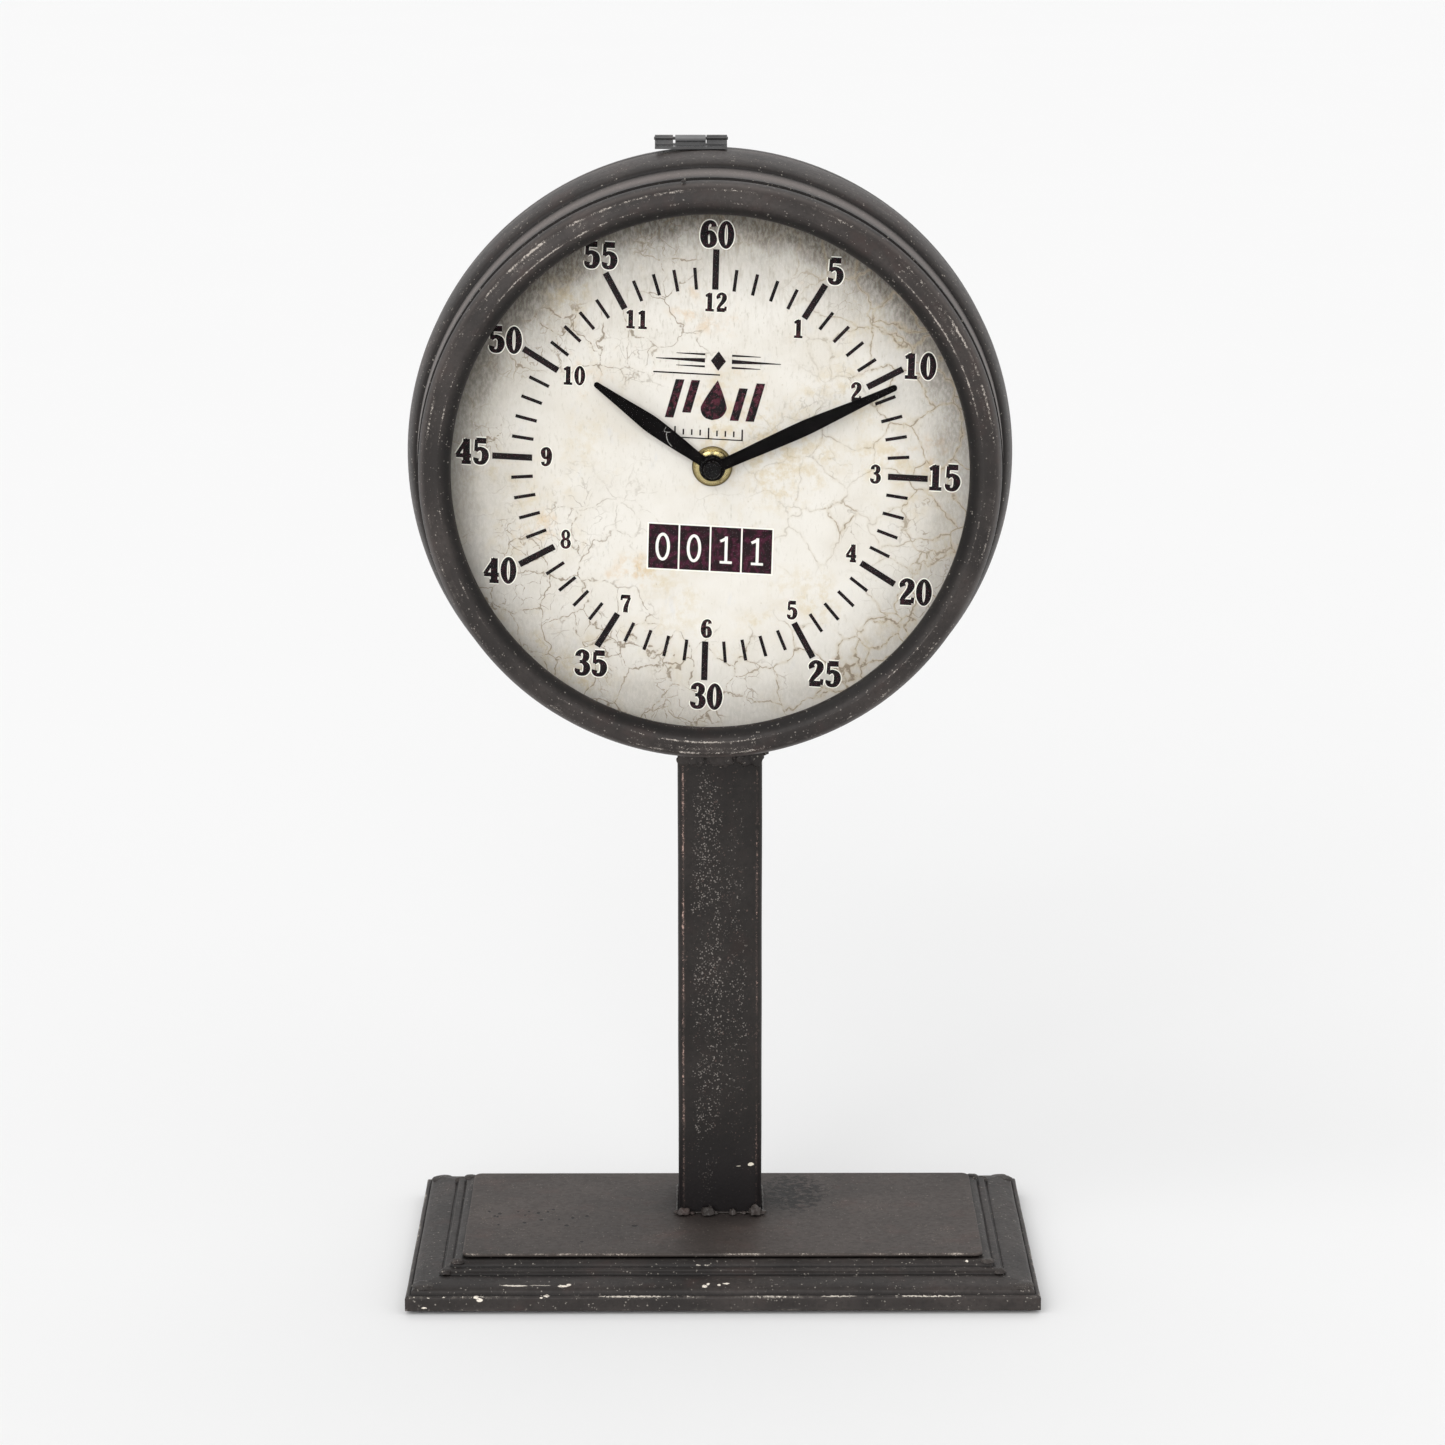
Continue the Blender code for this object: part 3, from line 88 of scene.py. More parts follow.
class Finish:
    """A Principled material and short calls that add nodes to it."""

    def __init__(self, name, **sockets):
        self.material = bpy.data.materials.new(name)
        self.material.use_nodes = True
        self.tree = self.material.node_tree
        self.shader = self.tree.nodes["Principled BSDF"]
        for socket, value in sockets.items():
            self.shader.inputs[socket.replace("_", " ")].default_value = value
        self.place = self.node("TexCoord").outputs["Object"]

    def feed(self, socket, value):
        if isinstance(value, bpy.types.NodeSocket):
            self.tree.links.new(value, socket)
        elif value is not None:
            socket.default_value = value

    def node(self, kind, inputs=(), **settings):
        """A new node with its settings, and its inputs by name or number."""
        made = self.tree.nodes.new("ShaderNode" + kind)
        for name, value in settings.items():
            setattr(made, name, value)
        for key, value in dict(inputs).items():
            self.feed(made.inputs[key], value)
        return made

    def math(self, operation, *values):
        return self.node("Math", enumerate(values), operation=operation).outputs[0]

    def add(self, first, second):
        return self.math("ADD", first, second)

    def less(self, first, second):
        return self.math("SUBTRACT", first, second)

    def most(self, first, second):
        return self.math("MAXIMUM", first, second)

    def times(self, first, *others):
        for other in others:
            first = self.math("MULTIPLY", first, other)
        return first

    def step(self, value, low, high, start=0.0, end=1.0):
        """Smooth step of value from low to high."""
        return self.node("MapRange", {"Value": value, "From Min": low, "From Max": high,
                                      "To Min": start, "To Max": end},
                         interpolation_type="SMOOTHSTEP").outputs["Result"]

    def attribute(self, name):
        return self.node("Attribute", attribute_name=name).outputs["Fac"]

    def scaled(self, factors, offset=(0.0, 0.0, 0.0)):
        return self.node("Mapping", {"Vector": self.place, "Scale": factors,
                                     "Location": offset}).outputs[0]

    def noise(self, scale, detail=3.0, roughness=0.55, place=None):
        return self.node("TexNoise", {"Vector": place or self.place, "Scale": scale,
                                      "Detail": detail, "Roughness": roughness}).outputs["Fac"]

    def cells(self, scale, place=None, feature="DISTANCE_TO_EDGE", randomness=1.0):
        return self.node("TexVoronoi", {"Vector": place or self.place, "Scale": scale,
                                        "Randomness": randomness},
                         feature=feature).outputs["Distance"]

    def dots(self, scale, low, high):
        """Round specks, one in each cell."""
        return self.step(self.cells(scale, feature="F1"), low, high)

    def wobbled(self, scale, amount):
        """Coordinates pushed about by noise."""
        push = self.node("TexNoise", {"Vector": self.place, "Scale": scale, "Detail": 3.0})
        return self.vector("MULTIPLY_ADD", push.outputs["Color"], (amount,) * 3, self.place)

    def vector(self, operation, *values):
        return self.node("VectorMath", enumerate(values), operation=operation).outputs[0]

    def part(self, axis):
        return self.node("SeparateXYZ", {0: self.place}).outputs[axis]

    def distance(self, point, factors, place=None):
        """Distance from point, with each axis scaled first."""
        shaped = self.vector("MULTIPLY", self.vector("SUBTRACT", place or self.place, point),
                             factors)
        return self.node("VectorMath", {0: shaped}, operation="LENGTH").outputs["Value"]

    def mix(self, share, first, second):
        first, second = ((*v, 1.0) if isinstance(v, tuple) else v for v in (first, second))
        return self.node("Mix", {0: share, 6: first, 7: second}, data_type="RGBA").outputs[2]

    def layers(self, base, *layers):
        """Colours over base, each given as (mask, colour)."""
        for mask, colour in layers:
            base = self.mix(mask, base, colour)
        return base

    def done(self, colour, height=None, distance=0.0, strength=1.0, roughness=None):
        """Connects the shader, with bumps from height, and gives the material."""
        self.feed(self.shader.inputs["Base Color"], colour)
        self.feed(self.shader.inputs["Roughness"], roughness)
        if height is not None:
            bump = self.node("Bump", {"Height": height, "Distance": distance,
                                      "Strength": strength})
            self.feed(self.shader.inputs["Normal"], bump.outputs[0])
        return self.material


MARK_SIZE = 0.86                   # scale of every chip mark


def spots(f, marks, ragged=420.0, rough=0.8, tearing=1.0, crumble=0.0):
    """A mask of torn-edged marks, each (x, y, z, three half sizes, strength), in mm."""
    tear = f.wobbled(ragged, tearing * MM)
    shift = 0.5 * tearing * MM
    total = None
    for x, y, z, *half, strength in marks:
        factors = tuple(1.0 / (MARK_SIZE * h * MM) for h in half)
        away = f.distance(tuple(c * MM + shift for c in (x, y, z)), factors, tear)
        mask = f.step(away, 1.0, rough, 0.0, strength)
        total = f.most(total, mask) if total else mask
    if crumble:
        total = f.times(total, f.step(f.noise(1100.0, 3.0, 0.8), crumble, crumble + 0.06))
    return total


def paint(name, dark, light, chip_level, speckle, chips=(0.70, 0.64, 0.56), sheen=0.42,
          marks=(), pits=(), extra=None, patches=(95.0, 0.35), flake=820.0):
    """Distressed paint: mottled dark coat, dust specks, and chips where "wear" is high."""
    f = Finish("distressed_paint_" + name, Specular_IOR_Level=0.24)
    grain = f.noise(620.0, 4.0, 0.6)
    patch = f.step(f.noise(patches[0], 2.0, 0.5), 0.42, 0.60, patches[1], 1.0)
    rubbed = f.times(f.attribute("wear"), patch)
    chip = f.step(f.add(f.noise(flake, 4.0, 0.85), f.times(rubbed, chip_level)), 0.77, 0.80)
    halo = f.step(f.add(grain, f.times(rubbed, 0.5)), 0.66, 1.05, 0.0, 0.35)
    specks = f.times(f.dots(900.0, 0.34, 0.20), f.step(f.noise(430.0, 3.0, 0.8), 0.55, 0.62))
    base = f.layers(
        dark,
        (f.step(f.noise(32.0, 4.0, 0.6), 0.34, 0.68), light),
        (f.step(grain, 0.42, 0.72, 0.0, 0.55), shade(dark, 0.80)),
        (f.step(f.noise(75.0, 3.0, 0.6), 0.52, 0.74, 0.0, 0.35),
         tuple(c * k for c, k in zip(light, (1.22, 0.86, 0.82)))),
        # painted light where "pale" is high, and grime with painted shade where "dirt" is high
        (f.times(f.attribute("pale"), 0.8), shade(light, 2.6)),
        (f.times(f.attribute("dirt"), 0.8), shade(dark, 0.16)),
        (halo, tuple(0.22 * c + 1.5 * k for c, k in zip(chips, light))),
        (f.times(specks, speckle), shade(chips, 0.75)),
        (f.times(chip, 0.92), chips))
    height = f.add(f.times(grain, 0.5), f.times(f.noise(2600.0, 2.0, 0.6), 0.25))
    height = f.less(height, f.times(chip, 0.8))
    if marks:
        mark = spots(f, marks, 900.0, 0.75, 0.9, 0.36)
        base = f.mix(mark, base, shade(chips, 1.25))
        height = f.less(height, f.times(mark, 0.9))
    if pits:
        pit = spots(f, pits, 1500.0, 0.7, 0.4)
        base = f.mix(f.times(pit, 0.9), base, shade(dark, 0.1))
        height = f.less(height, f.times(pit, 1.6))
    if extra:
        base, height = extra(f, base, height)
    rough = f.add(f.times(grain, 0.22), f.step(chip, 0.0, 1.0, sheen - 0.08, sheen + 0.28))
    return f.done(base, height, 0.16 * MM, 0.75, rough)


def metal(name, colour, dull, roughness=0.22):
    """Polished or plated metal with fine scratches, and tarnish where "dirt" is high."""
    f = Finish(name, Metallic=1.0)
    lines = f.noise(1.0, 2.0, 0.6, f.scaled((2600.0, 208.0, 910.0)))
    tarnish = f.most(f.step(f.noise(260.0, 3.0, 0.6), 0.48, 0.75, 0.0, 0.8),
                     f.times(f.attribute("dirt"), 0.9))
    rough = f.add(f.times(lines, 0.16), f.step(tarnish, 0.0, 1.0, roughness, roughness + 0.2))
    return f.done(f.mix(tarnish, colour, dull), lines, 0.02 * MM, 0.5, rough)


def plastic(name, colour, roughness, grain=1800.0):
    """Moulded plastic with a fine spark-eroded grain and handling marks."""
    f = Finish(name, Specular_IOR_Level=0.45)
    smear = f.step(f.noise(60.0, 3.0, 0.6), 0.4, 0.7)
    handled = tuple(min(1.0, 1.5 * c + 0.01) for c in colour)
    return f.done(f.mix(f.times(smear, 0.4), colour, handled), f.noise(grain, 2.0, 0.6),
                  0.03 * MM, 0.6, f.step(smear, 0.0, 1.0, roughness - 0.06, roughness + 0.12))


def enamel(name, shine=0.025, roughness=(0.52, 0.70)):
    """Black enamel with faint specks of dust, matt unless it is given more shine."""
    f = Finish(name, Specular_IOR_Level=shine)
    texture = f.noise(1500.0, 3.0, 0.6)
    dust = f.times(f.dots(620.0, 0.16, 0.09), f.step(f.noise(300.0, 2.0, 0.6), 0.60, 0.68), 0.5)
    base = f.mix(f.noise(140.0, 3.0, 0.6), (0.0022, 0.0017, 0.0019), (0.0052, 0.0042, 0.0045))
    return f.done(f.mix(dust, base, (0.12, 0.11, 0.10)), texture, 0.012 * MM, 0.4,
                  f.step(texture, 0.3, 0.7, *roughness))


def ink(name, share, black=(0.010, 0.0085, 0.009), red=(0.085, 0.018, 0.030), scale=900.0):
    """Printing ink, black that has faded to maroon in blotches."""
    f = Finish("ink_" + name, Roughness=0.62, Specular_IOR_Level=0.08)
    blotch = f.step(f.noise(scale, 3.0, 0.65), 0.46, 0.62, 0.0, share)
    worn = f.step(f.noise(scale * 2.4, 2.0, 0.6), 0.66, 0.78, 0.0, 0.35)
    return f.done(f.layers(black, (blotch, red), (worn, (0.22, 0.19, 0.17))), f.noise(2200.0),
                  0.01 * MM, 0.5)


def dial_paper(name):
    """Aged ivory paper on hardboard: crackle, tan stains, brown streaks, painted bezel shadow."""
    f = Finish(name, Roughness=0.6, Specular_IOR_Level=0.12)
    up, right = f.less(f.part("Z"), HEAD.z), f.less(f.part("X"), HEAD.x)
    out = f.distance((HEAD.x, 0.0, HEAD.z), (1.0, 0.0, 1.0))
    stain = f.step(f.noise(21.0, 3.0, 0.6, f.scaled((1, 1, 1), (0.4, 0.0, 0.13))), 0.50, 0.68)
    fine = f.step(f.noise(230.0, 4.0, 0.7), 0.42, 0.66)
    rust = f.step(f.noise(46.0, 3.0, 0.55), 0.60, 0.74)
    streak = f.step(f.noise(1.0, 3.0, 0.65, f.scaled((640.0, 10.0, 130.0))), 0.48, 0.72)
    smudge = f.times(
        f.step(f.noise(70.0, 3.0, 0.6, f.scaled((1.3, 1, 1), (0.9, 0.0, 0.2))), 0.60, 0.72),
        f.step(f.noise(700.0, 2.0, 0.6, f.scaled((1.0, 1.0, 0.3))), 0.4, 0.6))

    # Painted shadow of the bezel round the rim, strongest at the top and broken up by streaks
    edge = f.step(f.add(out, f.times(f.noise(55.0, 3.0, 0.6), 0.018)), 0.079, 0.095)
    broad = f.step(f.add(out, f.times(f.noise(28.0, 3.0, 0.6), 0.03)), 0.068, 0.106, 0.0, 0.70)
    streaky = f.noise(1.0, 3.0, 0.7, f.scaled((900.0, 10.0, 420.0)))
    bezel_shadow = f.times(f.most(edge, broad), f.step(up, -0.05, 0.075, 0.36, 1.0),
                  f.step(streaky, 0.36, 0.62, 0.72, 1.0))

    bent = f.wobbled(120.0, 0.010)
    wide = f.cells(70.0, bent)
    small = f.times(f.step(f.cells(190.0, bent), 0.036, 0.010),
                    f.step(f.noise(40.0), 0.46, 0.58, 0.0, 0.85))
    where = f.step(f.noise(26.0, 2.0, 0.5, f.scaled((1, 1, 1), (0.15, 0, 0.7))), 0.44, 0.56)
    where = f.most(where, f.step(f.add(right, f.times(up, 0.3)), 0.030, 0.075, 0.0, 0.9))
    where = f.times(where, f.step(out, 0.026, 0.060, 0.30, 1.0))
    crack = f.times(f.most(f.step(wide, 0.020, 0.006), small), where,
                    f.step(f.noise(380.0, 3.0, 0.7), 0.38, 0.54))
    fibres = f.noise(1.0, 3.0, 0.7, f.scaled((1100.0, 10.0, 330.0)))
    grimy = f.step(f.add(f.noise(45.0, 3.0, 0.6), f.times(up, 1.4)), 0.40, 0.66, 0.35, 1.0)

    board = f.mix(f.noise(900.0, 4.0, 0.8), (0.105, 0.060, 0.032), (0.215, 0.135, 0.078))
    behind = f.step(f.part("Y"), (DIAL_FRONT + 0.5) * MM, (DIAL_FRONT + 0.6) * MM)
    base = f.layers(
        (0.648, 0.603, 0.566),
        (f.step(f.noise(38.0, 4.0, 0.6), 0.35, 0.7), (0.590, 0.540, 0.492)),
        (f.times(stain, fine, 0.72), (0.54, 0.43, 0.275)),
        (f.times(rust, fine, 0.55), (0.58, 0.40, 0.24)),
        (f.times(f.step(up, 0.025, 0.085), streak, 0.50), (0.34, 0.28, 0.22)),
        (f.times(smudge, 0.22), (0.50, 0.50, 0.55)),
        (f.times(bezel_shadow, 0.95), (0.120, 0.100, 0.082)),
        (f.times(f.step(wide, 0.075, 0.0), where, f.step(right, -0.01, 0.05, 0.1, 0.5)),
         (0.42, 0.335, 0.225)),
        (f.times(crack, 0.85), (0.21, 0.160, 0.115)),
        (f.times(f.dots(420.0, 0.17, 0.08), f.step(f.noise(160.0), 0.54, 0.68), 0.40),
         (0.35, 0.28, 0.20)),
        (f.times(f.step(fibres, 0.54, 0.72, 0.0, 0.55), grimy), (0.36, 0.315, 0.255)),
        (behind, board))
    return f.done(base, f.less(f.times(f.noise(1400.0), 0.2), crack), 0.03 * MM, 0.5)


def clear_glass(name):
    f = Finish(name, Base_Color=(0.98, 1.0, 0.99, 1.0), Transmission_Weight=1.0, Roughness=0.01,
               IOR=1.05)
    return f.done(None, f.noise(14.0, 1.0), 0.02 * MM, 0.15)


def fibre(name, colour):
    """Felt: a matted nap in two shades."""
    f = Finish(name, Roughness=0.95, Specular_IOR_Level=0.15, Sheen_Weight=0.3)
    nap = f.noise(1900.0, 4.0, 0.75, f.wobbled(900.0, 0.002))
    return f.done(f.mix(f.step(nap, 0.35, 0.65), colour, shade(colour, 2.1)), nap, 0.25 * MM, 0.9)


def winding(name):
    """Enamelled copper wire in close turns."""
    f = Finish(name, Metallic=1.0)
    turns = f.node("TexWave", {"Scale": 1700.0, "Distortion": 0.6, "Vector": f.place},
                   wave_type="BANDS", bands_direction="Z").outputs["Fac"]
    return f.done(f.mix(turns, (0.30, 0.10, 0.035), (0.72, 0.31, 0.13)), turns, 0.08 * MM, 0.8,
                  f.step(f.noise(700.0), 0.3, 0.7, 0.22, 0.40))


def circuit(name):
    """Green solder mask over copper tracks."""
    f = Finish(name, Roughness=0.35)
    track = f.step(f.cells(330.0, randomness=0.0), 0.16, 0.10)
    base = f.mix(f.noise(260.0), (0.010, 0.085, 0.030), (0.016, 0.120, 0.045))
    return f.done(f.mix(f.times(track, 0.5), base, (0.05, 0.24, 0.10)), track, 0.03 * MM, 0.6)


def cell_sleeve(name, low, high):
    """Printed foil sleeve: a dark band, a copper band and bare metal ends."""
    f = Finish(name, Metallic=0.6, Roughness=0.28)
    along = f.math("DIVIDE", f.less(f.part("X"), low), high - low)
    bare = (0.55, 0.55, 0.56)
    base = f.layers(
        (0.035, 0.045, 0.060),
        (f.step(along, 0.68, 0.685), (0.64, 0.43, 0.19)),
        (f.step(along, 0.965, 0.97), bare),
        (f.step(along, 0.015, 0.010), bare),
        (f.step(f.noise(90.0, 4.0, 0.7), 0.45, 0.75, 0.0, 0.25), (0.16, 0.16, 0.17)))
    return f.done(base, f.noise(160.0, 2.0, 0.5), 0.05 * MM, 0.4)


# ---------------------------------------------------------------- mesh building


def place_mesh(name, mesh, material, body="clock_stand", node=None, angle=32.0, **strengths):
    """Makes a piece that rides on a body and may stand for a CAD node."""
    for label, values in strengths.items():
        layer = mesh.attributes.new(label, "FLOAT", "POINT")
        layer.data.foreach_set("value", np.float32(values) * np.ones(len(mesh.vertices), "f"))
    mesh.shade_smooth()
    mesh.set_sharp_from_angle(angle=math.radians(angle))
    piece = bpy.data.objects.new(name, mesh)
    bpy.context.scene.collection.objects.link(piece)
    piece.data.materials.append(material)
    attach(piece, body)
    if node:
        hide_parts(node)
    return piece


def add_piece(name, verts, faces, material, **settings):
    mesh = bpy.data.meshes.new(name)
    mesh.from_pydata([tuple(map(float, v)) for v in verts], [],
                     [list(map(int, face)) for face in faces])
    bm = bmesh.new()
    bm.from_mesh(mesh)
    bmesh.ops.recalc_face_normals(bm, faces=bm.faces)
    bm.to_mesh(mesh)
    bm.free()
    return place_mesh(name, mesh, material, **settings)


def mesh_of(name, bm):
    mesh = bpy.data.meshes.new(name)
    bm.to_mesh(mesh)
    bm.free()
    return mesh


def arc(centre, radii, start, end, steps):
    """Points on an ellipse from start to end degrees."""
    return [(centre[0] + radii[0] * math.cos(a), centre[1] + radii[1] * math.sin(a))
            for a in np.radians(np.linspace(start, end, steps + 1))]


SMOOTH_TURN = 25.0                 # degrees by which an outline may turn before it is a corner
FILLET_STEPS = 3


def fillet(outline, radius):
    """The closed outline with its corners rounded off."""
    made = []
    count = len(outline)
    for i in range(count):
        before, here, after = (Vector(outline[k % count]) for k in (i - 1, i, i + 1))
        back, ahead = before - here, after - here
        turn = math.degrees(math.pi - back.angle(ahead)) if back.length * ahead.length else 0.0
        if turn < SMOOTH_TURN:
            made.append(tuple(here))
            continue
        cut = min(radius, 0.45 * back.length, 0.45 * ahead.length)
        start, end = here + back.normalized() * cut, here + ahead.normalized() * cut
        for t in (k / FILLET_STEPS for k in range(FILLET_STEPS + 1)):
            made.append(tuple(start * (1 - t) ** 2 + here * 2 * t * (1 - t) + end * t * t))
    return made


def refined(outline, step, closed=True):
    """The outline with its long sides divided, so that no side is longer than step."""
    made = []
    count = len(outline)
    for i in range(count if closed else count - 1):
        a, b = np.array(outline[i], float), np.array(outline[(i + 1) % count], float)
        pieces = max(1, math.ceil(np.linalg.norm(b - a) / step))
        made += [tuple(a + (b - a) * k / pieces) for k in range(pieces)]
    return made if closed else made + [tuple(outline[-1])]


def strength_at(points, places):
    """How strongly each point lies near one of the (a, b, width, strength) places."""
    total = np.zeros(len(points))
    for a, b, width, strength in places:
        away = np.hypot(points[:, 0] - a, points[:, 1] - b)
        total = np.maximum(total, strength * np.exp(-(away / width) ** 2))
    return total


def turned(name, outline, material, node, segments, step=0.8, axis=HEAD,
           body="clock_stand", wobble=0.0, ridges=(), grooves=(), lights=(), rubbed=()):
    """A (radius, depth) outline turned about the head's axis, or about another point.

    It closes on itself, unless it starts and ends at radius 0.  Rubbed holds (degrees from +X
    towards +Z, spread, strength) of the places most worn.
    """
    solid = outline[0][0] == 0.0
    outline = np.array(refined(outline, step, not solid))
    ring = outline[1:-1] if solid else outline
    count, first = len(ring), 2 if solid else 0
    verts = [[(axis.x, outline[end, 1] * MM, axis.z) for end in (0, -1)]] if solid else []
    angles = np.linspace(0.0, TAU, segments, endpoint=False)
    for c, s in ((math.cos(a), math.sin(a)) for a in angles):
        radius = ring[:, 0] * MM
        if wobble:
            radius = radius + wobble * noise.noise(Vector((3.0 * c, 3.0 * s, 0.0))) * MM
        verts.append(np.c_[axis.x + radius * c, ring[:, 1] * MM, axis.z + radius * s])
    faces = []
    for k in range(segments):
        here, there = first + k * count, first + (k + 1) % segments * count
        if solid:
            faces += [(0, here, there), (1, there + count - 1, here + count - 1)]
        for i in range(count - solid):
            j = (i + 1) % count
            faces.append((here + i, here + j, there + j, there + i))
    around = np.full(segments, 0.45 if rubbed else 1.0)
    for degrees, spread, strength in rubbed:
        away = (np.degrees(angles) - degrees + 180.0) % 360.0 - 180.0
        around = np.maximum(around, strength * np.exp(-(away / spread) ** 2))

    def spread_out(places, shares):
        values = strength_at(outline, places)
        ends, middle = (values[[0, -1]], values[1:-1]) if solid else ([], values)
        return np.r_[ends, np.outer(shares, middle).ravel()]
    even = np.ones(segments)
    # grooves get grime and painted shade, lights get painted light
    return add_piece(name, np.concatenate(verts), faces, material, body=body, node=node,
                     wear=spread_out(ridges, around), dirt=spread_out(grooves, even),
                     pale=spread_out(lights, even))


def stacked(rings, loop=False):
    """Vertices and faces of a skin over equal rings, with end faces unless it is a loop."""
    count, levels = len(rings[0]), len(rings)
    faces = []
    for k in range(levels if loop else levels - 1):
        a, b = k * count, (k + 1) % levels * count
        faces += [(a + i, a + (i + 1) % count, b + (i + 1) % count, b + i) for i in range(count)]
    if not loop:
        faces += [tuple(range(count)),
                  tuple(reversed(range((levels - 1) * count, levels * count)))]
    return np.concatenate([np.asarray(r, float) for r in rings]), faces


def rounded(half_x, half_y, radius, steps):
    """The four corner arcs of a rounded rectangle."""
    return [arc((cx * (half_x - radius), cy * (half_y - radius)), (radius, radius), start,
                start + 90, steps)
            for cx, cy, start in ((1, 1, 0), (-1, 1, 90), (-1, -1, 180), (1, -1, 270))]


# ---------------------------------------------------------------- paints

COAT_DARK = (0.033, 0.028, 0.0262)
COAT_LIGHT = (0.060, 0.050, 0.046)

head_paint = paint("head", COAT_DARK, COAT_LIGHT, 0.30, 0.6)
cover_paint = paint("cover", COAT_DARK, COAT_LIGHT, 0.30, 0.22)
bezel_paint = paint("bezel", shade(COAT_DARK, 0.78), shade(COAT_LIGHT, 0.88), 0.33, 0.5,
                    chips=(0.52, 0.47, 0.42), patches=(120.0, 0.5), flake=1150.0)

BASE_MARKS = [
    (-86.2, -61.8, 6.2, 1.2, 1.4, 0.7, 1.0), (-84.9, -62.2, 5.4, 1.4, 1.4, 0.9, 1.0),
    (-63.4, -61.6, 6.2, 0.9, 1.2, 0.45, 1.0), (-61.6, -61.3, 6.6, 1.5, 1.2, 0.4, 1.0),
    (-72.9, -58.0, 8.8, 6.4, 0.55, 1.2, 0.8), (-64.0, -57.8, 9.0, 5.0, 0.3, 1.2, 0.5),
    (-56.0, -58.2, 8.7, 2.6, 0.7, 1.2, 0.95), (-54.0, -57.6, 8.9, 1.2, 1.1, 1.2, 0.95),
    (-104.4, -62.5, 2.5, 1.3, 1.2, 0.4, 1.0), (-102.8, -61.8, 6.1, 0.7, 1.0, 0.4, 0.9),
    (-97.6, -61.6, 6.3, 1.0, 1.0, 0.3, 0.8), (-6.4, -58.4, 8.7, 1.2, 0.8, 1.2, 1.0),
    (-5.2, -57.3, 9.0, 0.9, 0.9, 1.2, 1.0), (-1.3, -57.7, 8.9, 0.9, 0.7, 1.2, 0.9),
    (1.0, -57.0, 9.1, 1.9, 0.6, 1.2, 1.0), (-8.6, -46.2, 12.3, 1.0, 1.2, 0.3, 0.6),
    (-5.6, -46.2, 12.2, 1.5, 1.2, 0.25, 0.6), (-32.0, -61.7, 6.4, 18.0, 0.7, 0.34, 0.7),
    (72.0, -61.7, 6.4, 17.0, 0.7, 0.30, 0.7), (40.0, -61.7, 6.4, 9.0, 0.7, 0.28, 0.6),
    (86.0, -45.5, 13.4, 0.7, 0.9, 0.6, 1.0)]
moulding_paint = paint("moulding", shade(COAT_DARK, 0.75), shade(COAT_LIGHT, 0.81), 0.28, 0.45,
                       marks=BASE_MARKS)


def plate_extras(f, base, height):
    """Spatter beside the post, shade round its foot, and brown dust."""
    near = f.step(f.distance((0.026, 0.020, PLATE_HIGH.z), (1.0, 0.62, 1.0)), 0.022, 0.006)
    blot = f.step(f.add(f.noise(330.0, 4.0, 0.75), f.times(near, 0.22)), 0.66, 0.72)
    blot = f.times(blot, near)
    close = f.step(f.distance((-0.0008, 0.0141, PLATE_HIGH.z), (1.0, 0.85, 1.0)), 0.030, 0.016)
    dust = f.times(f.dots(760.0, 0.20, 0.10), f.step(f.noise(85.0), 0.55, 0.66))
    base = f.layers(base, (f.times(blot, 0.9), (0.007, 0.006, 0.0055)),
                    (f.times(close, 0.45), (0.018, 0.015, 0.014)),
                    (f.times(dust, 0.5), (0.36, 0.29, 0.22)))
    return base, f.less(height, f.times(blot, 0.7))


rng = random.Random(11)
PIT_DEEP = 1.5
PITS = [(rng.gauss(-72.0, 7.0), rng.gauss(-4.0, 7.0), PLATE_TOP, rng.uniform(0.5, 0.95),
         rng.uniform(0.9, 1.6), PIT_DEEP, 1.0) for _ in range(16)]
PITS += [(-56.0, -14.0, PLATE_TOP, 1.1, 1.3, PIT_DEEP, 1.0),
         (-31.5, -14.5, PLATE_TOP, 1.5, 1.3, PIT_DEEP, 1.0),
         (-50.0, -31.0, PLATE_TOP, 0.8, 1.2, PIT_DEEP, 0.8)]
plate_paint = paint("plate", (0.050, 0.041, 0.037), (0.073, 0.059, 0.053), 0.31, 0.3,
                    chips=(0.50, 0.44, 0.38), sheen=0.5, pits=PITS, extra=plate_extras,
                    patches=(70.0, 0.5), flake=1250.0)


def post_extras(f, base, height):
    """Light specks down the front face, a dark foot and a chip near it."""
    band = f.step(f.distance((-0.0052, -0.001, 0.110), (1.0, 0.0, 0.058)), 0.0072, 0.0040)
    other = f.step(f.distance((0.0052, -0.001, 0.110), (1.0, 0.0, 0.062)), 0.0060, 0.0030, 0.0,
                   0.55)
    cluster = f.noise(1.0, 3.0, 0.6, f.scaled((60.0, 0.0, 34.0)))
    where = f.times(f.most(band, other), f.step(cluster, 0.36, 0.60, 0.25, 1.0))
    keep = f.step(f.add(f.noise(700.0, 3.0, 0.8), f.times(where, 0.16)), 0.60, 0.66)
    specks = f.times(f.dots(1300.0, 0.42, 0.26), keep, f.step(where, 0.05, 0.4), 0.8)
    chip = spots(f, [(10.4, -0.9, 34.0, 1.5, 2.5, 0.8, 1.0), (6.0, -0.9, 33.2, 1.1, 2.5, 0.3, 0.5)])
    foot = f.step(f.part("Z"), 0.062, 0.020, 0.0, 0.85)
    base = f.layers(base, (specks, (0.25, 0.225, 0.205)), (foot, (0.0062, 0.0048, 0.0056)),
                    (chip, (0.78, 0.72, 0.60)))
    return base, f.less(height, chip)


